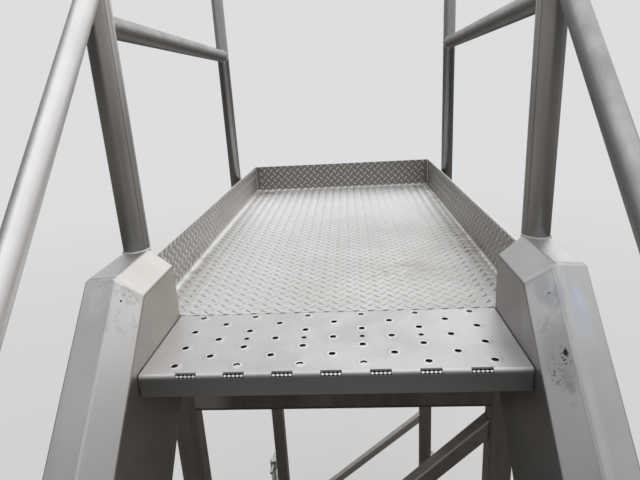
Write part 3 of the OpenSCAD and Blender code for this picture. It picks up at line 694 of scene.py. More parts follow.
def grip_tree(material):
    """Pressed-up collars round the holes, and teeth in the slots on the slant of the bend."""
    tree, given, out = geometry_tree("tread_grips", {
        **tread_inputs, "Collar radius": 0.0072, "Collar width": 0.0021, "Collar height": 0.38})
    collar = ring(tree, given["Collar radius"], given["Collar width"], given["Collar height"])
    tooth = form(tree, "MeshCylinder", {"Vertices": 4, "Radius": 1.0, "Depth": 1.0})
    tooth = form(tree, "Transform", {
        "Geometry": tooth, "Scale": tooth_size, "Rotation": (tooth_lean, 0, 0),
        "Translation": tooth_place})
    tooth_row = grid_points(tree, 5, 1, (tooth_pitch, 0.0), 0.0)
    slots = grid_points(tree, 7, 1, slot_pitch, 0.0)
    teeth = instances(tree, slots, instances(tree, tooth_row, tooth))
    grips = joined(tree, instances(tree, hole_spots(tree), collar), teeth)
    whole = instances(tree, flight(tree, given), grips)
    return ended(tree, out, whole, material)


tread_steel = steel("perforated_sheet", (0.75, 0.741, 0.737), (0.69, 0.68, 0.673),
                    rough=(0.5, 0.56), patch_scale=9.0, streaks=0.0, specks=0.15)
grip_steel = steel("worn_grips", (0.92, 0.915, 0.905), (0.86, 0.85, 0.84),
                   rough=(0.25, 0.35), patch_scale=14.0, streaks=0.0, specks=0.0)
perforated, grips = perforation_tree(tread_steel), grip_tree(grip_steel)
top_nosing_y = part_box("top_tread")[0].y
step_down = (0.0, -going, -riser)
# Shoes keep both ends bright. The right front corner is painted darker as the shade of the bend beside it.
# Dirt fills the joint behind the top tread. The folds are painted darker and the walls of the holes black,
# as shade.
tree, (across, along, height) = object_axes(tread_steel)
over_colour(tread_steel, remap(tree, across, 0.08, 0.3, 0.0, 0.95), (0.9, 0.885, 0.88))
over_colour(tread_steel, remap(tree, across, -0.3, -0.1, 0.5, 0.0), (0.92, 0.91, 0.91))
# Painted shade in the right front corner
right_corner = times(tree, remap(tree, across, 0.235, 0.295, 0.0, 0.6),
                     remap(tree, along, deck_edge_y - 0.15, deck_edge_y - 0.08, 1.0, 0.3))
over_colour(tread_steel, right_corner, (0.45, 0.442, 0.436))
under = calc(tree, "FLOORED_MODULO", minus(tree, deck_z + 0.001, height), riser)
behind = calc(tree, "FLOORED_MODULO", minus(tree, along, top_nosing_y), going)
# Painted shade on the folds
over_colour(tread_steel, remap(tree, under, 0.0045, 0.0095, 0.0, 0.95), (0.3, 0.295, 0.288))
# Painted shade: the walls of the holes are black
facing = put(tree, "ShaderNodeNewGeometry").outputs["True Normal"]
upright_share = remap(tree, calc(tree, "ABSOLUTE", axes(tree, facing)[2]), 0.3, 0.6, 1.0, 0.0)
hole_wall = times(tree, upright_share, remap(tree, behind, 0.009, 0.012))
over_colour(tread_steel, times(tree, hole_wall, remap(tree, under, 0.0012, 0.0016)),
            (0.03, 0.028, 0.026))
over_colour(tread_steel, remap(tree, along, deck_edge_y - 0.0022, deck_edge_y - 0.0012, 0.0, 0.85),
            (0.06, 0.057, 0.053))
for node, count, skipped in (("top_tread", 1, 0), ("lower_treads", 8, 1)):
    first = (0.0, top_nosing_y + skipped * step_down[1], deck_z + skipped * step_down[2])
    places = {"Treads": count, "First nosing": first, "Step down": step_down}
    piece = grow(node + "_perforated", perforated, clean_copy(node), tread_steel, **places)
    rounded(piece)
    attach(piece, "chassis")
    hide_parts(node)
    piece = grow(node + "_grips", grips, bpy.data.meshes.new(node + "_grips"), grip_steel, **places)
    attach(piece, "chassis")

finished("tread_cleats", tread_steel, 0.0008)


# Railings. Stainless tube with a satin surface, cut to fit and welded. A dark reflection is painted on
# the posts, and the left stair rail is painted brighter than the right one, as light and shade.
post_x, post_y, post_r, rail_r, knee_r = 0.366, deck_edge_y + 0.004, 0.02415, 0.01905, 0.0175


def tube_steel(name, clean, rough=(0.46, 0.54)):
    """Satin finish of one railing tube, stained a little darker in patches."""
    return steel(name, clean, [0.91 * value for value in clean], rough=rough,
                 patch_scale=9.0, streaks=0.25, specks=0.3, grain=0.0001)


# Platform rails keep their own tone on top, are painted dark below as shade, and are darker on their upright
# lengths
for node, washed, upright, shaded in (
    ("platform_rail_left", (0.56, 0.547, 0.534), (0.43, 0.42, 0.41), (0.22, 0.212, 0.203)),
    ("platform_rail_right", (0.54, 0.527, 0.514), (0.4, 0.39, 0.38), (0.2, 0.193, 0.185)),
):
    metal = tube_steel(node + "_steel", washed)
    tree = metal.node_tree
    geometry = put(tree, "ShaderNodeNewGeometry").outputs
    rounded_z, flat_z = axes(tree, geometry["Normal"])[2], axes(tree, geometry["True Normal"])[2]
    over_colour(metal, remap(tree, calc(tree, "ABSOLUTE", flat_z), 0.02, 0.1, 0.9, 0.0), upright)
    # Painted shade on the rails' undersides
    below = times(tree, remap(tree, rounded_z, -0.55, 0.05, 0.85, 0.0),
                  remap(tree, flat_z, -0.15, -0.05, 1.0, 0.0))
    over_colour(metal, below, shaded)
    finished(node, metal)
finished("rear_post_brackets", tube_steel("bracket_steel", (0.5, 0.487, 0.474)))

# The left stair rail carries a painted highlight on its inner side, the right one painted shade there
for node, clean, inner_side, full, none in (
    ("stair_rail_left", (0.62, 0.608, 0.594), (0.99, 0.975, 0.96), 0.25, -0.45),
    ("stair_rail_right", (0.56, 0.55, 0.539), (0.3, 0.293, 0.285), -0.97, -0.7),
):
    metal = tube_steel(node + "_steel", clean, (0.5, 0.58))
    tree = metal.node_tree
    facing = axes(tree, put(tree, "ShaderNodeNewGeometry").outputs["Normal"])[0]
    over_colour(metal, remap(tree, facing, full, none, 0.85, 0.0), inner_side)
    finished(node, metal)

# A dark reflection is painted as a line along each post's inner side. Beside it the left post has a painted
# highlight strip. Both are brighter higher up and darker at their foot, and painted dark on their outer side
# as shade.
post_steel = tube_steel("front_post_steel", (0.68, 0.663, 0.645))
tree, (across, along, height) = object_axes(post_steel)
inward = minus(tree, post_x, calc(tree, "ABSOLUTE", across))
turn = calc(tree, "ARCTAN2", minus(tree, along, post_y), inward)
off_strip = calc(tree, "ABSOLUTE", plus(tree, turn, 0.72))
off_seam = calc(tree, "ABSOLUTE", plus(tree, turn, 0.54))
over_colour(post_steel, remap(tree, height, deck_z + 0.3, deck_z + 0.5, 0.0, 0.6), (0.99, 0.975, 0.96))
# Painted shade on the posts' outer side
outer = times(tree, remap(tree, inward, -0.001, 0.007, 1.0, 0.0),
              remap(tree, height, deck_z + 0.3, deck_z + 0.5, 0.35, 0.9))
over_colour(post_steel, outer, (0.27, 0.262, 0.254))
# Painted highlight strip on the left post
ground = times(tree, remap(tree, off_strip, 0.02, 0.2, 0.15, 0.0), calc(tree, "LESS_THAN", across, 0.0))
over_colour(post_steel, ground, (0.84, 0.83, 0.81))
# The right post is darker on its inner side
stained = times(tree, remap(tree, inward, 0.012, 0.022, 0.0, 0.2),
                calc(tree, "GREATER_THAN", across, 0.0))
over_colour(post_steel, stained, (0.3, 0.29, 0.28))
# Painted dark reflection line along each post
over_colour(post_steel, remap(tree, off_seam, 0.01, 0.09, 0.65, 0.0), (0.24, 0.23, 0.22))
over_colour(post_steel, remap(tree, height, deck_z + 0.12, deck_z + 0.32, 0.7, 0.0), (0.26, 0.25, 0.24))
finished("front_posts", post_steel)


# Weld beads. Stainless filler laid by hand round the joints of the rails and the frame, in
# short overlapping ripples, and left as it was welded.
def around(steps):
    """Even angles once round, from 0."""
    return [2 * math.pi * step / steps for step in range(steps)]


def saddle(post_radius, start, along, radius):
    """Seam of a rail of some radius on an upright post, for a rail that leaves it at start."""
    along = Vector(along).normalized()
    level = Vector((along.x, along.y, 0)).normalized()
    across = Vector((-level.y, level.x, 0))
    upper = across.cross(along) * -1
    points = []
    for angle in around(seam_steps):
        side = radius * math.cos(angle)
        depth = math.sqrt(max(post_radius ** 2 - side ** 2, 0.0))
        rise = radius * math.sin(angle)
        run = (depth - rise * upper.dot(level)) / along.dot(level)
        points.append(Vector(start) + along * run + across * side + upper * rise)
    return points


def square(centre, half_x, half_y, half_z):
    """Loop round a square tube's end. The half size that is 0 is the tube's own direction."""
    x, y, z = centre
    signs = ((-1, -1), (1, -1), (1, 1), (-1, 1))
    if half_x == 0:
        return [Vector((x, y + a * half_y, z + b * half_z)) for a, b in signs]
    return [Vector((x + a * half_x, y + b * half_y, z)) for a, b in signs]


def bead_mesh(name, loops, lines):
    """Start mesh of bare edges along the seams."""
    points, edges = [], []
    for group, closed in ((loops, True), (lines, False)):
        for path in group:
            first = len(points)
            points += path
            edges += [(first + i, first + i + 1) for i in range(len(path) - 1)]
            if closed:
                edges.append((len(points) - 1, first))
    mesh = bpy.data.meshes.new(name)
    mesh.from_pydata(points, edges, [])
    return mesh


def weld_tree(material):
    """A rippled, slightly uneven bead along each edge of the start mesh."""
    tree, given, out = geometry_tree("weld_beads", {
        "Bead radius": 0.0022, "Ripple": 0.0028, "Ripple depth": 0.22, "Seed": 7.0})
    curves = form(tree, "MeshToCurve", {0: given["Geometry"]})
    even = form(tree, "ResampleCurve", {
        "Curve": curves, "Length": times(tree, given["Ripple"], 0.5)}, mode="LENGTH")
    travelled = put(tree, "GeometryNodeSplineParameter").outputs["Length"]
    turns = calc(tree, "DIVIDE", times(tree, travelled, 2 * math.pi), given["Ripple"])
    wave = times(tree, calc(tree, "SINE", turns), given["Ripple depth"])
    place = form(tree, "InputPosition")
    blobs = put(tree, "ShaderNodeTexNoise", {
        "Vector": place, "Scale": 220.0, "W": given["Seed"]}, noise_dimensions="4D")
    uneven = plus(tree, 0.75, wave, times(tree, blobs.outputs[0], 0.5))
    bead = form(tree, "SetCurveRadius", {"Curve": even, "Radius": uneven})
    section = form(tree, "CurvePrimitiveCircle", {"Resolution": 6, "Radius": given["Bead radius"]})
    width = form(tree, "InputRadius")
    solid = form(tree, "CurveToMesh", {
        "Curve": bead, "Profile Curve": section, "Scale": width, "Fill Caps": True})
    smooth = form(tree, "SetShadeSmooth", {0: solid})
    return ended(tree, out, smooth, material)


rear_post = Vector((0.38605, deck_edge_y + 0.95, 0))
knee_top = deck_z + 0.366 + (post_y - top_nosing_y) * math.tan(slope)
hand_top, mid_z = deck_z + 1.1, deck_z + 0.53
down_slope = (0, -math.cos(slope), -math.sin(slope))
halfway_r, foot_bead_r, foot_r, seat = 0.01825, 0.0245, 0.024, 0.0003
seam_steps, half_seam_steps = 40, 24
wall_rise, ridge_rise, cap_fall = 0.104, 0.035, 3 / 45
base_top, base_mid, leg_x, tube_half = 0.28, 0.245, 0.336, 0.025
# Legs and crossbars by their distance from the deck's near edge, the bars of the base frame
# first and those under the deck after them. The last bar of both is narrower.
leg_rows, last_bar, last_bar_half = (0.05, 1.09), 1.1875, 0.0225
base_bars, deck_bars = (-1.3, -0.6, 0.05, 0.78, last_bar), (0.025, 0.405, 0.81, last_bar)
deck_frame_low, deck_bar_mid, deck_bar_half = deck_z - 0.103, deck_z - 0.053, 0.05
# The front beam's distance, height and half sizes, and the heights along a corner's seam
front_beam, kick_seam = (0.047, deck_z - 0.205, 0.02, 0.031), (0.012, 0.06, 0.103)


def cap_height(x):
    """Height of a cap's outer top face."""
    return deck_z + wall_rise + ridge_rise - (abs(x) - ridge_x) * cap_fall


def slope_height(x, y):
    """Height of a stringer's sloping outer top face."""
    lift = (ridge_rise - (abs(x) - ridge_x) * cap_fall) / math.cos(slope)
    return deck_z + wall_rise + (y - knee_y) * math.tan(slope) + lift


tube_loops, tube_lines, frame_loops = [], [], []
for side in (-1, 1):
    x = side * post_x
    tube_lines.append([
        Vector((x + foot_bead_r * math.cos(a), post_y + foot_bead_r * math.sin(a),
                cap_height(x + foot_r * math.cos(a))))
        for a in (math.pi * (1 + step / half_seam_steps) for step in range(half_seam_steps + 1))])
    back = Vector((side * rear_post.x - x, rear_post.y - post_y, 0))
    tube_loops.append(saddle(post_r, (x, post_y, knee_top), down_slope, knee_r))
    tube_loops.append(saddle(post_r, (x, post_y, hand_top), down_slope, rail_r))
    tube_loops.append(saddle(post_r, (x, post_y, hand_top), back, rail_r))
    tube_loops.append(saddle(post_r, (x, post_y, mid_z), back, rail_r))
    tube_loops.append(saddle(rail_r, (side * rear_post.x, rear_post.y, mid_z), -back, rail_r - seat))
    for y, radius in ((deck_edge_y - 0.9, halfway_r), (deck_edge_y - 1.7, rail_r)):
        tube_loops.append([
            Vector((x + radius * math.cos(a), y + radius * math.sin(a),
                    slope_height(x + radius * math.cos(a), y + radius * math.sin(a))))
            for a in around(seam_steps)])
        joint = (x, y, knee_top + (y - post_y) * math.tan(slope))
        tube_loops.append(saddle(radius, joint, down_slope, min(knee_r, radius - seat)))
        if radius < rail_r:
            up_slope = [-value for value in down_slope]
            tube_loops.append(saddle(radius, joint, up_slope, knee_r))
    corner_x = side * (deck_high.x - sheet - 0.0005)
    corner_y = deck_far_y - sheet - 0.0005
    tube_lines.append([Vector((corner_x, corner_y, deck_z + rise)) for rise in kick_seam])
    # Legs between base and deck frame, then crossbars between the side tubes' inner faces
    for y in leg_rows:
        for z in (base_top, deck_frame_low):
            frame_loops.append(square((side * leg_x, deck_edge_y + y, z), tube_half, tube_half, 0))
    inner_x = side * (leg_x - tube_half)
    for y, z, half_z in (
        *((y, base_mid, tube_half) for y in base_bars),
        *((y, deck_bar_mid, deck_bar_half) for y in deck_bars),
    ):
        half_y = last_bar_half if y == last_bar else tube_half
        frame_loops.append(square((inner_x, deck_edge_y + y, z), 0, half_y, half_z))
    y, z, half_y, half_z = front_beam
    frame_loops.append(square((inner_x, deck_edge_y + y, z), 0, half_y, half_z))

weld_steel = steel("weld_metal", (0.88, 0.87, 0.855), (0.72, 0.71, 0.69), rough=(0.45, 0.55), streaks=0.0)
for name, loops, lines, metal in (("railing_welds", tube_loops, tube_lines, weld_steel),
                                  ("frame_welds", frame_loops, [], frame_steel)):
    piece = grow(name, weld_tree(metal), bead_mesh(name, loops, lines), metal)
    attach(piece, "chassis")


# Main wheels. Solid rubber tyres with ribs and shoulder blocks, moulded on pressed and
# zinc-plated rims, which are bolted up and turn on the stub axles.
def lathe(shape, outline, matrix, steps=64, closed=False):
    """Adds a solid turned about the Z axis. Its outline of (radius, height) runs upwards from
    the axis and back to it, or it closes on itself and makes a ring."""
    rows = []
    for radius, height in outline:
        if radius == 0:
            rows.append([shape.verts.new(matrix @ Vector((0, 0, height)))] * steps)
            continue
        rows.append([
            shape.verts.new(matrix @ Vector((radius * math.cos(a), radius * math.sin(a), height)))
            for a in around(steps)])
    following = rows[1:] + rows[:1] if closed else rows[1:]
    for low, high in zip(rows, following):
        for i in range(steps):
            j = (i + 1) % steps
            corners = list(dict.fromkeys((low[i], low[j], high[j], high[i])))
            if len(corners) > 2:
                shape.faces.new(corners)


def mesh_of(shape, name):
    """Plain mesh of a shape, which is freed."""
    mesh = bpy.data.meshes.new(name)
    shape.to_mesh(mesh)
    shape.free()
    return mesh


def middle(node):
    """Centre of a CAD node's box."""
    low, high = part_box(node)
    return (low + high) / 2


def rubber_finish():
    """Black rubber, grey with dust in patches."""
    material = bpy.data.materials.new("dusty_black_rubber")
    material.use_nodes = True
    tree = material.node_tree
    surface = tree.nodes["Principled BSDF"]
    wear = put(tree, "ShaderNodeGroup", {"Patch scale": 12.0}, node_tree=weathering)
    dusty = tint(tree, wear.outputs["Patches"], (0.03, 0.03, 0.031), (0.085, 0.08, 0.073))
    bump = put(tree, "ShaderNodeBump", {"Height": wear.outputs["Grain"], "Distance": 0.0003})
    feed(tree, surface.inputs["Base Color"], dusty)
    feed(tree, surface.inputs["Roughness"], remap(tree, wear.outputs["Patches"], 0, 1, 0.6, 0.85))
    feed(tree, surface.inputs["Normal"], bump.outputs[0])
    return material


def around_axis_tree(name, material):
    """Repeats the start mesh about the X axis."""
    tree, given, out = geometry_tree(name, {"Count": 12, "First turn": 0.0})
    spots = form(tree, "MeshLine", {"Count": given["Count"], "Offset": (0.0, 0.0, 0.0)}, mode="OFFSET")
    share = calc(tree, "DIVIDE", form(tree, "InputIndex"), given["Count"])
    angle = plus(tree, times(tree, share, 2 * math.pi), given["First turn"])
    turned = put(tree, "FunctionNodeEulerToRotation", {0: vector(tree, angle, 0.0, 0.0)})
    copies = form(tree, "InstanceOnPoints", {
        "Points": spots, "Instance": given["Geometry"], "Rotation": turned.outputs[0]})
    return ended(tree, out, copies, material)


def tyre_outline():
    """Ring outline of a main tyre as (radius, across): sidewalls, shoulders and centre ribs."""
    half = [(0.110, 0.037), (0.113, 0.043), (0.120, 0.048), (0.128, 0.0495), (0.133, 0.05),
            (0.136, 0.05), (0.138, 0.0487), (0.158, 0.049), (0.172, 0.049)]
    for step in range(1, 7):
        turn = math.pi / 2 * step / 6
        half.append((0.172 + 0.022 * math.sin(turn), 0.0195 + 0.0295 * math.cos(turn)))
    half += [(0.194, 0.0165), (0.1995, 0.0155), (0.2, 0.0145), (0.2, 0.0045), (0.1995, 0.0035),
             (0.194, 0.0025)]
    return [(r, -x) for r, x in half] + [(r, x) for r, x in reversed(half)]


def shoulder_blocks():
    """One pitch of the tread: a slanting block on each shoulder, tapered towards its top."""
    outline = [(0.0185, 0.191), (0.0185, 0.1995), (0.029, 0.1985), (0.0385, 0.194), (0.0455, 0.186),
               (0.0492, 0.176), (0.044, 0.172)]
    block_half, taper_from, taper, slant = 0.0115, 0.192, 0.25, 0.18
    shape = bmesh.new()
    for side in (-1, 1):
        ends = []
        for end in (-1, 1):
            ring_points = []
            for x, r in outline:
                half_length = block_half - taper * max(r - taper_from, 0)
                lead = slant * (x - outline[0][0])
                ring_points.append(shape.verts.new((side * x, end * half_length + side * lead, r)))
            ends.append(ring_points)
        for i in range(len(outline)):
            j = (i + 1) % len(outline)
            shape.faces.new((ends[0][i], ends[0][j], ends[1][j], ends[1][i]))
        shape.faces.new(ends[0])
        shape.faces.new(ends[1])
    bmesh.ops.recalc_face_normals(shape, faces=shape.faces)
    return mesh_of(shape, "shoulder_blocks")


def outward(side):
    """Turn that lays the Z axis along X, to the right for 1 and to the left for -1."""
    return Matrix.Rotation(side * math.pi / 2, 4, "Y")


def hex_bolt(shape, matrix, across_flats, height, washer):
    """Hexagon head with a chamfered top and a washer, standing on the plane of the matrix."""
    corner, thread = across_flats / math.sqrt(3), across_flats * 0.3
    lathe(shape, [(0, -0.0005), (washer, -0.0005), (washer, 0.0014), (washer * 0.97, 0.0018),
                  (0, 0.0018)], matrix, 32)
    lathe(shape, [(0, 0.001), (corner, 0.001), (corner, height * 0.86), (corner * 0.88, height),
                  (0, height)], matrix, 6)
    lathe(shape, [(0, height - 0.001), (thread, height - 0.001), (thread, height + 0.001),
                  (thread * 0.8, height + 0.0016), (0, height + 0.0016)], matrix, 16)


rubber = rubber_finish()
zinc = steel("zinc_plate", (0.6, 0.61, 0.62), (0.46, 0.46, 0.45), rough=(0.32, 0.48), patch_scale=14.0)
rubber_blocks = around_axis_tree("tread_blocks", rubber)
bolt_circle = around_axis_tree("bolt_circle", zinc)
block_pitches, rim_bolts, bolt_radius, disc_half = 38, 5, 0.072, 0.0025
blocks = grow("blocks", rubber_blocks, shoulder_blocks(), rubber, Count=block_pitches)
block_ring = blocks.data
bpy.data.objects.remove(blocks)
for side in ("left", "right"):
    node = f"main_tyre_{side}"
    shape = bmesh.new()
    lathe(shape, tyre_outline(), outward(1), 96, closed=True)
    shape.from_mesh(block_ring)
    mesh = mesh_of(shape, node + "_ribbed")
    mesh.transform(Matrix.Translation(middle(node)))
    tyre = add(node + "_ribbed", mesh, rubber)
    rounded(tyre, sharp=40)
    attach(tyre, frame["nodes"][node]["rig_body"])
    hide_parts(node)
    rim = f"main_rim_{side}"
    finished(rim, zinc, 0.001)
    shape = bmesh.new()
    for face in (-1, 1):
        stand = Matrix.Translation((face * disc_half, 0, bolt_radius)) @ outward(face)
        hex_bolt(shape, stand, across_flats=0.017, height=0.008, washer=0.0115)
    bolts = grow(rim + "_bolts", bolt_circle, mesh_of(shape, "rim_bolt"), zinc,
                 **{"Count": rim_bolts, "First turn": 0.3})
    bolts.data.transform(Matrix.Translation(middle(rim)))
    rounded(bolts)
    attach(bolts, frame["nodes"][rim]["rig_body"])


# Castors. Two swivel castors with pressed forks, bolted to plates under the base tubes. Their
# smooth rubber rings are moulded on dished hubs.
fork_half = 0.0335
for side in ("left", "right"):
    finished(f"castor_tyre_{side}", rubber)
    finished(f"castor_hub_{side}", zinc, 0.0008)
    fork = f"castor_fork_{side}"
    finished(fork, zinc, 0.0015)
    pin = middle(f"castor_hub_{side}")
    shape = bmesh.new()
    for face in (-1, 1):
        stand = Matrix.Translation((pin.x + face * fork_half, pin.y, pin.z)) @ outward(face)
        hex_bolt(shape, stand, across_flats=0.022, height=0.009, washer=0.014)
    nuts = add(fork + "_pin_nuts", mesh_of(shape, fork + "_pin_nuts"), zinc)
    rounded(nuts)
    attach(nuts, frame["nodes"][fork]["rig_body"])
finished("castor_plates", zinc, 0.001)


# Fixings. The castors hang on four nuts each, and the stub axles' plates are bolted through
# the base tubes. Every head stands at its own angle, as a spanner leaves it.
def scattered_bolts_tree(material):
    """A hexagon head on each point of the start mesh, turned at random about its own axis."""
    tree, given, out = geometry_tree("scattered_bolts", {
        "Across flats": 0.019, "Height": 0.009, "Washer radius": 0.0135, "Stand": (0.0, 0.0, 0.0),
        "Seed": 5})
    corner = calc(tree, "DIVIDE", given["Across flats"], math.sqrt(3))
    head = form(tree, "MeshCone", {
        "Vertices": 6, "Radius Top": times(tree, corner, 0.93), "Radius Bottom": corner,
        "Depth": given["Height"]})
    washer = form(tree, "MeshCylinder", {
        "Vertices": 28, "Radius": given["Washer radius"], "Depth": 0.0036})
    shank = form(tree, "MeshCylinder", {
        "Vertices": 16, "Radius": times(tree, given["Across flats"], 0.3),
        "Depth": times(tree, given["Height"], 2.5)})
    bolt = joined(tree, head, washer, shank)
    twist = put(tree, "FunctionNodeRandomValue", {"Max": math.pi / 3, "Seed": given["Seed"]})
    spun = put(tree, "FunctionNodeEulerToRotation", {0: vector(tree, 0.0, 0.0, twist.outputs["Value"])})
    stood = put(tree, "FunctionNodeEulerToRotation", {0: given["Stand"]})
    turned = put(tree, "FunctionNodeRotateRotation", {
        "Rotation": stood.outputs[0], "Rotate By": spun.outputs[0]}, rotation_space="LOCAL")
    placed = form(tree, "InstanceOnPoints", {
        "Points": given["Geometry"], "Instance": bolt, "Rotation": turned.outputs[0]})
    return ended(tree, out, placed, material)


scattered = scattered_bolts_tree(zinc)
plate_y, plate_top = middle("castor_plates").y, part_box("castor_plates")[1].z
axle_y, axle_plate = middle("main_rim_right").y, 0.012
# Spread of the nuts on a castor plate, and of the bolts on an axle plate below the tube's top
nut_x, nut_y, bolt_y, bolt_drops = 0.038, 0.041, 0.045, (0.018, 0.062)
castor_points, bracket_points = [], []
for side in (-1, 1):
    for x in (-nut_x, nut_x):
        for y in (-nut_y, nut_y):
            castor_points.append((side * leg_x + x, plate_y + y, plate_top))
    for y in (-bolt_y, bolt_y):
        for drop in bolt_drops:
            plate_x = side * (leg_x + tube_half + axle_plate)
            bracket_points.append((plate_x, axle_y + y, base_top - drop))
for name, points, turn in (
    ("castor_plate_nuts", castor_points, (0, 0, 0)),
    ("axle_plate_bolts", bracket_points, (0, math.pi / 2, 0)),
):
    start_mesh = bpy.data.meshes.new(name)
    start_mesh.from_pydata(points, [], [])
    piece = grow(name, scattered, start_mesh, zinc, Stand=turn)
    rounded(piece)
    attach(piece, "chassis")


# Stabilisers. Zinc-plated spindles with a trapezoidal thread, which run in the square sleeves
# and in a nut welded on each. A cross handle turns them down until the round pad bears.
spindle_r, thread_pitch, thread_depth = 0.015, 0.006, 0.0024
pad_r, pad_height, handle_reach, handle_r = 0.06, 0.012, 0.07, 0.007
handle_z, thread_end, head_low, sleeve_top = 0.56, 0.53, 0.526, 0.4095
nut_bore, nut_r, nut_height = 0.0158, 0.027, 0.02


def spindle_tree(material):
    """Threaded bar up the Z axis from its start height, closed at both ends."""
    tree, given, out = geometry_tree("threaded_spindle", {
        "Radius": 0.015, "Thread depth": 0.0024, "Pitch": 0.006, "Start": 0.01, "Length": 0.5,
        "Round steps": 21, "Rows": 400})
    grid = form(tree, "MeshGrid", {
        "Size X": 1.0, "Size Y": 1.0, "Vertices X": given["Round steps"], "Vertices Y": given["Rows"]})
    u, v, _ = axes(tree)
    angle = times(tree, u, 2 * math.pi)
    height = times(tree, plus(tree, v, 0.5), given["Length"])
    # The grid's rows at both ends close on the axis, and the thread climbs one pitch a turn
    phase = calc(tree, "FRACT", plus(tree, calc(tree, "DIVIDE", height, given["Pitch"]), u))
    off_crest = calc(tree, "ABSOLUTE", minus(tree, phase, 0.5))
    flank = calc(tree, "DIVIDE", minus(tree, off_crest, 0.15), 0.14)
    cut = calc(tree, "MINIMUM", calc(tree, "MAXIMUM", flank, 0.0), 1.0)
    radius = minus(tree, given["Radius"], times(tree, cut, given["Thread depth"]))
    inside = calc(tree, "LESS_THAN", calc(tree, "ABSOLUTE", v), 0.4999)
    radius = times(tree, radius, inside)
    wrapped = form(tree, "SetPosition", {
        "Geometry": grid,
        "Position": vector(
            tree, times(tree, radius, calc(tree, "COSINE", angle)),
            times(tree, radius, calc(tree, "SINE", angle)),
            plus(tree, height, given["Start"]))})
    closed = form(tree, "MergeByDistance", {"Geometry": wrapped, "Distance": 1e-5})
    return ended(tree, out, closed, material)


threaded = grow("thread", spindle_tree(zinc), bpy.data.meshes.new("thread"), zinc, Radius=spindle_r,
                Pitch=thread_pitch, Start=pad_height, Length=thread_end - pad_height,
                **{"Thread depth": thread_depth})
thread_bar = threaded.data
bpy.data.objects.remove(threaded)
upright = Matrix()
sleeve_nuts = bmesh.new()
for corner in ("front_left", "front_right", "rear_left", "rear_right"):
    node = f"jack_{corner}"
    centre, top = middle(node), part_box(node)[1].z
    place = Matrix.Translation((centre.x, centre.y, 0))
    shape = bmesh.new()
    shape.from_mesh(thread_bar)
    lathe(shape, [(0, 0), (pad_r - 0.001, 0), (pad_r, 0.001), (pad_r, pad_height - 0.003),
                  (pad_r - 0.003, pad_height), (0.024, pad_height), (0.02, pad_height + 0.004),
                  (0.0165, pad_height + 0.012), (0, pad_height + 0.012)], upright)
    lathe(shape, [(0, head_low), (spindle_r - 0.0025, head_low), (spindle_r, head_low + 0.003),
                  (spindle_r, top - 0.002), (spindle_r - 0.002, top), (0, top)], upright, 32)
    handle = Matrix.Translation((0, 0, handle_z)) @ Matrix.Rotation(math.pi / 2, 4, "X")
    lathe(shape, [(0, -handle_reach), (handle_r * 0.8, -handle_reach), (handle_r, -handle_reach + 0.0015),
                  (handle_r, handle_reach - 0.0015), (handle_r * 0.8, handle_reach), (0, handle_reach)],
          handle, 20)
    mesh = mesh_of(shape, node + "_threaded")
    mesh.transform(place)
    jack = add(node + "_threaded", mesh, zinc)
    rounded(jack)
    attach(jack, frame["nodes"][node]["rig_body"])
    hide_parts(node)
    stand = place @ Matrix.Translation((0, 0, sleeve_top))
    lathe(sleeve_nuts, [(nut_bore, 0), (nut_r, 0), (nut_r, nut_height - 0.003),
                        (nut_r - 0.0025, nut_height), (nut_bore, nut_height)], stand, 6, closed=True)
nuts = add("sleeve_nuts", mesh_of(sleeve_nuts, "sleeve_nuts"), zinc)
rounded(nuts)
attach(nuts, "chassis")


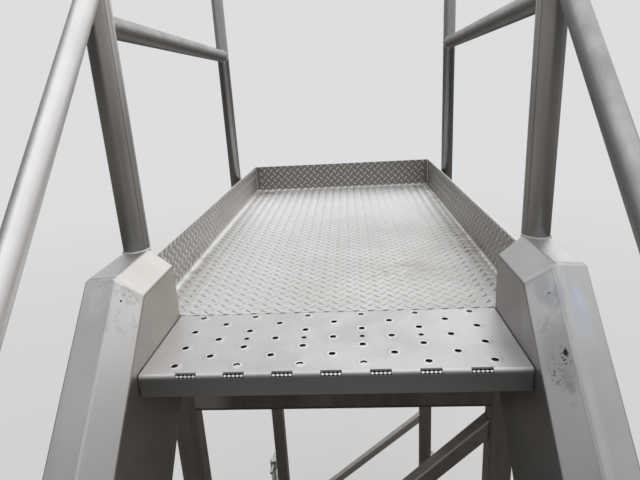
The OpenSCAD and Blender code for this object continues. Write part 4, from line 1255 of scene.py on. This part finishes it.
# Studio. A pale floor that runs into a pale backdrop. The light is soft, as under a cloudy
# sky: strongest overhead, ahead and to the right, weaker behind the eye and at its level.
floor_mesh = bpy.data.meshes.new("floor")
floor_reach = 40.0
floor_mesh.from_pydata(
    [(a * floor_reach, b * floor_reach, 0) for a, b in ((-1, -1), (1, -1), (1, 1), (-1, 1))],
    [], [(0, 1, 2, 3)])
backdrop = (0.72, 0.73, 0.74)
paper = bpy.data.materials.new("studio_floor")
paper.use_nodes = True
tree = paper.node_tree
surface = tree.nodes["Principled BSDF"]
seen = put(tree, "ShaderNodeLightPath").outputs["Is Camera Ray"]
place = put(tree, "ShaderNodeTexCoord").outputs["Object"]
far_out = put(tree, "ShaderNodeVectorMath", {0: place}, operation="LENGTH").outputs["Value"]
fade = remap(tree, far_out, 2.5, 12.0)
feed(tree, surface.inputs["Base Color"], tint(tree, seen, (0.15, 0.14, 0.13), (0.78, 0.775, 0.765)))
surface.inputs["Roughness"].default_value = 0.9
glow = put(tree, "ShaderNodeEmission", {"Color": backdrop})
melted = put(tree, "ShaderNodeMixShader", {
    0: times(tree, fade, seen), 1: surface.outputs[0], 2: glow.outputs[0]})
feed(tree, tree.nodes["Material Output"].inputs[0], melted.outputs[0])
floor = add("studio_floor", floor_mesh, paper)

world = bpy.data.worlds.new("soft_sky")
world.use_nodes = True
bpy.context.scene.world = world
tree = world.node_tree
ray_x, ray_y, ray_z = axes(tree, put(tree, "ShaderNodeTexCoord").outputs["Generated"])
ahead = plus(tree, ray_z, times(tree, ray_y, 0.12))
height = remap(tree, ahead, 0.15, 0.34)
behind = remap(tree, ray_y, -0.6, 0.3, 0.58, 1.0)
left = remap(tree, ray_x, -0.75, 0.1, 0.45, 1.0)
overhead = remap(tree, ray_z, 0.55, 0.95)
sides = times(tree, behind, left)
level = calc(tree, "MAXIMUM", sides, times(tree, overhead, 1.22))
sky = tint(tree, height, (0.19, 0.181, 0.172), (1.04, 1.045, 1.055))
lit = put(tree, "ShaderNodeVectorMath", {0: sky}, operation="SCALE")
feed(tree, lit.inputs["Scale"], level)
seen = put(tree, "ShaderNodeLightPath").outputs["Is Camera Ray"]
feed(tree, tree.nodes["Background"].inputs["Color"], tint(tree, seen, lit.outputs[0], backdrop))

bpy.context.scene.view_settings.view_transform = "Standard"
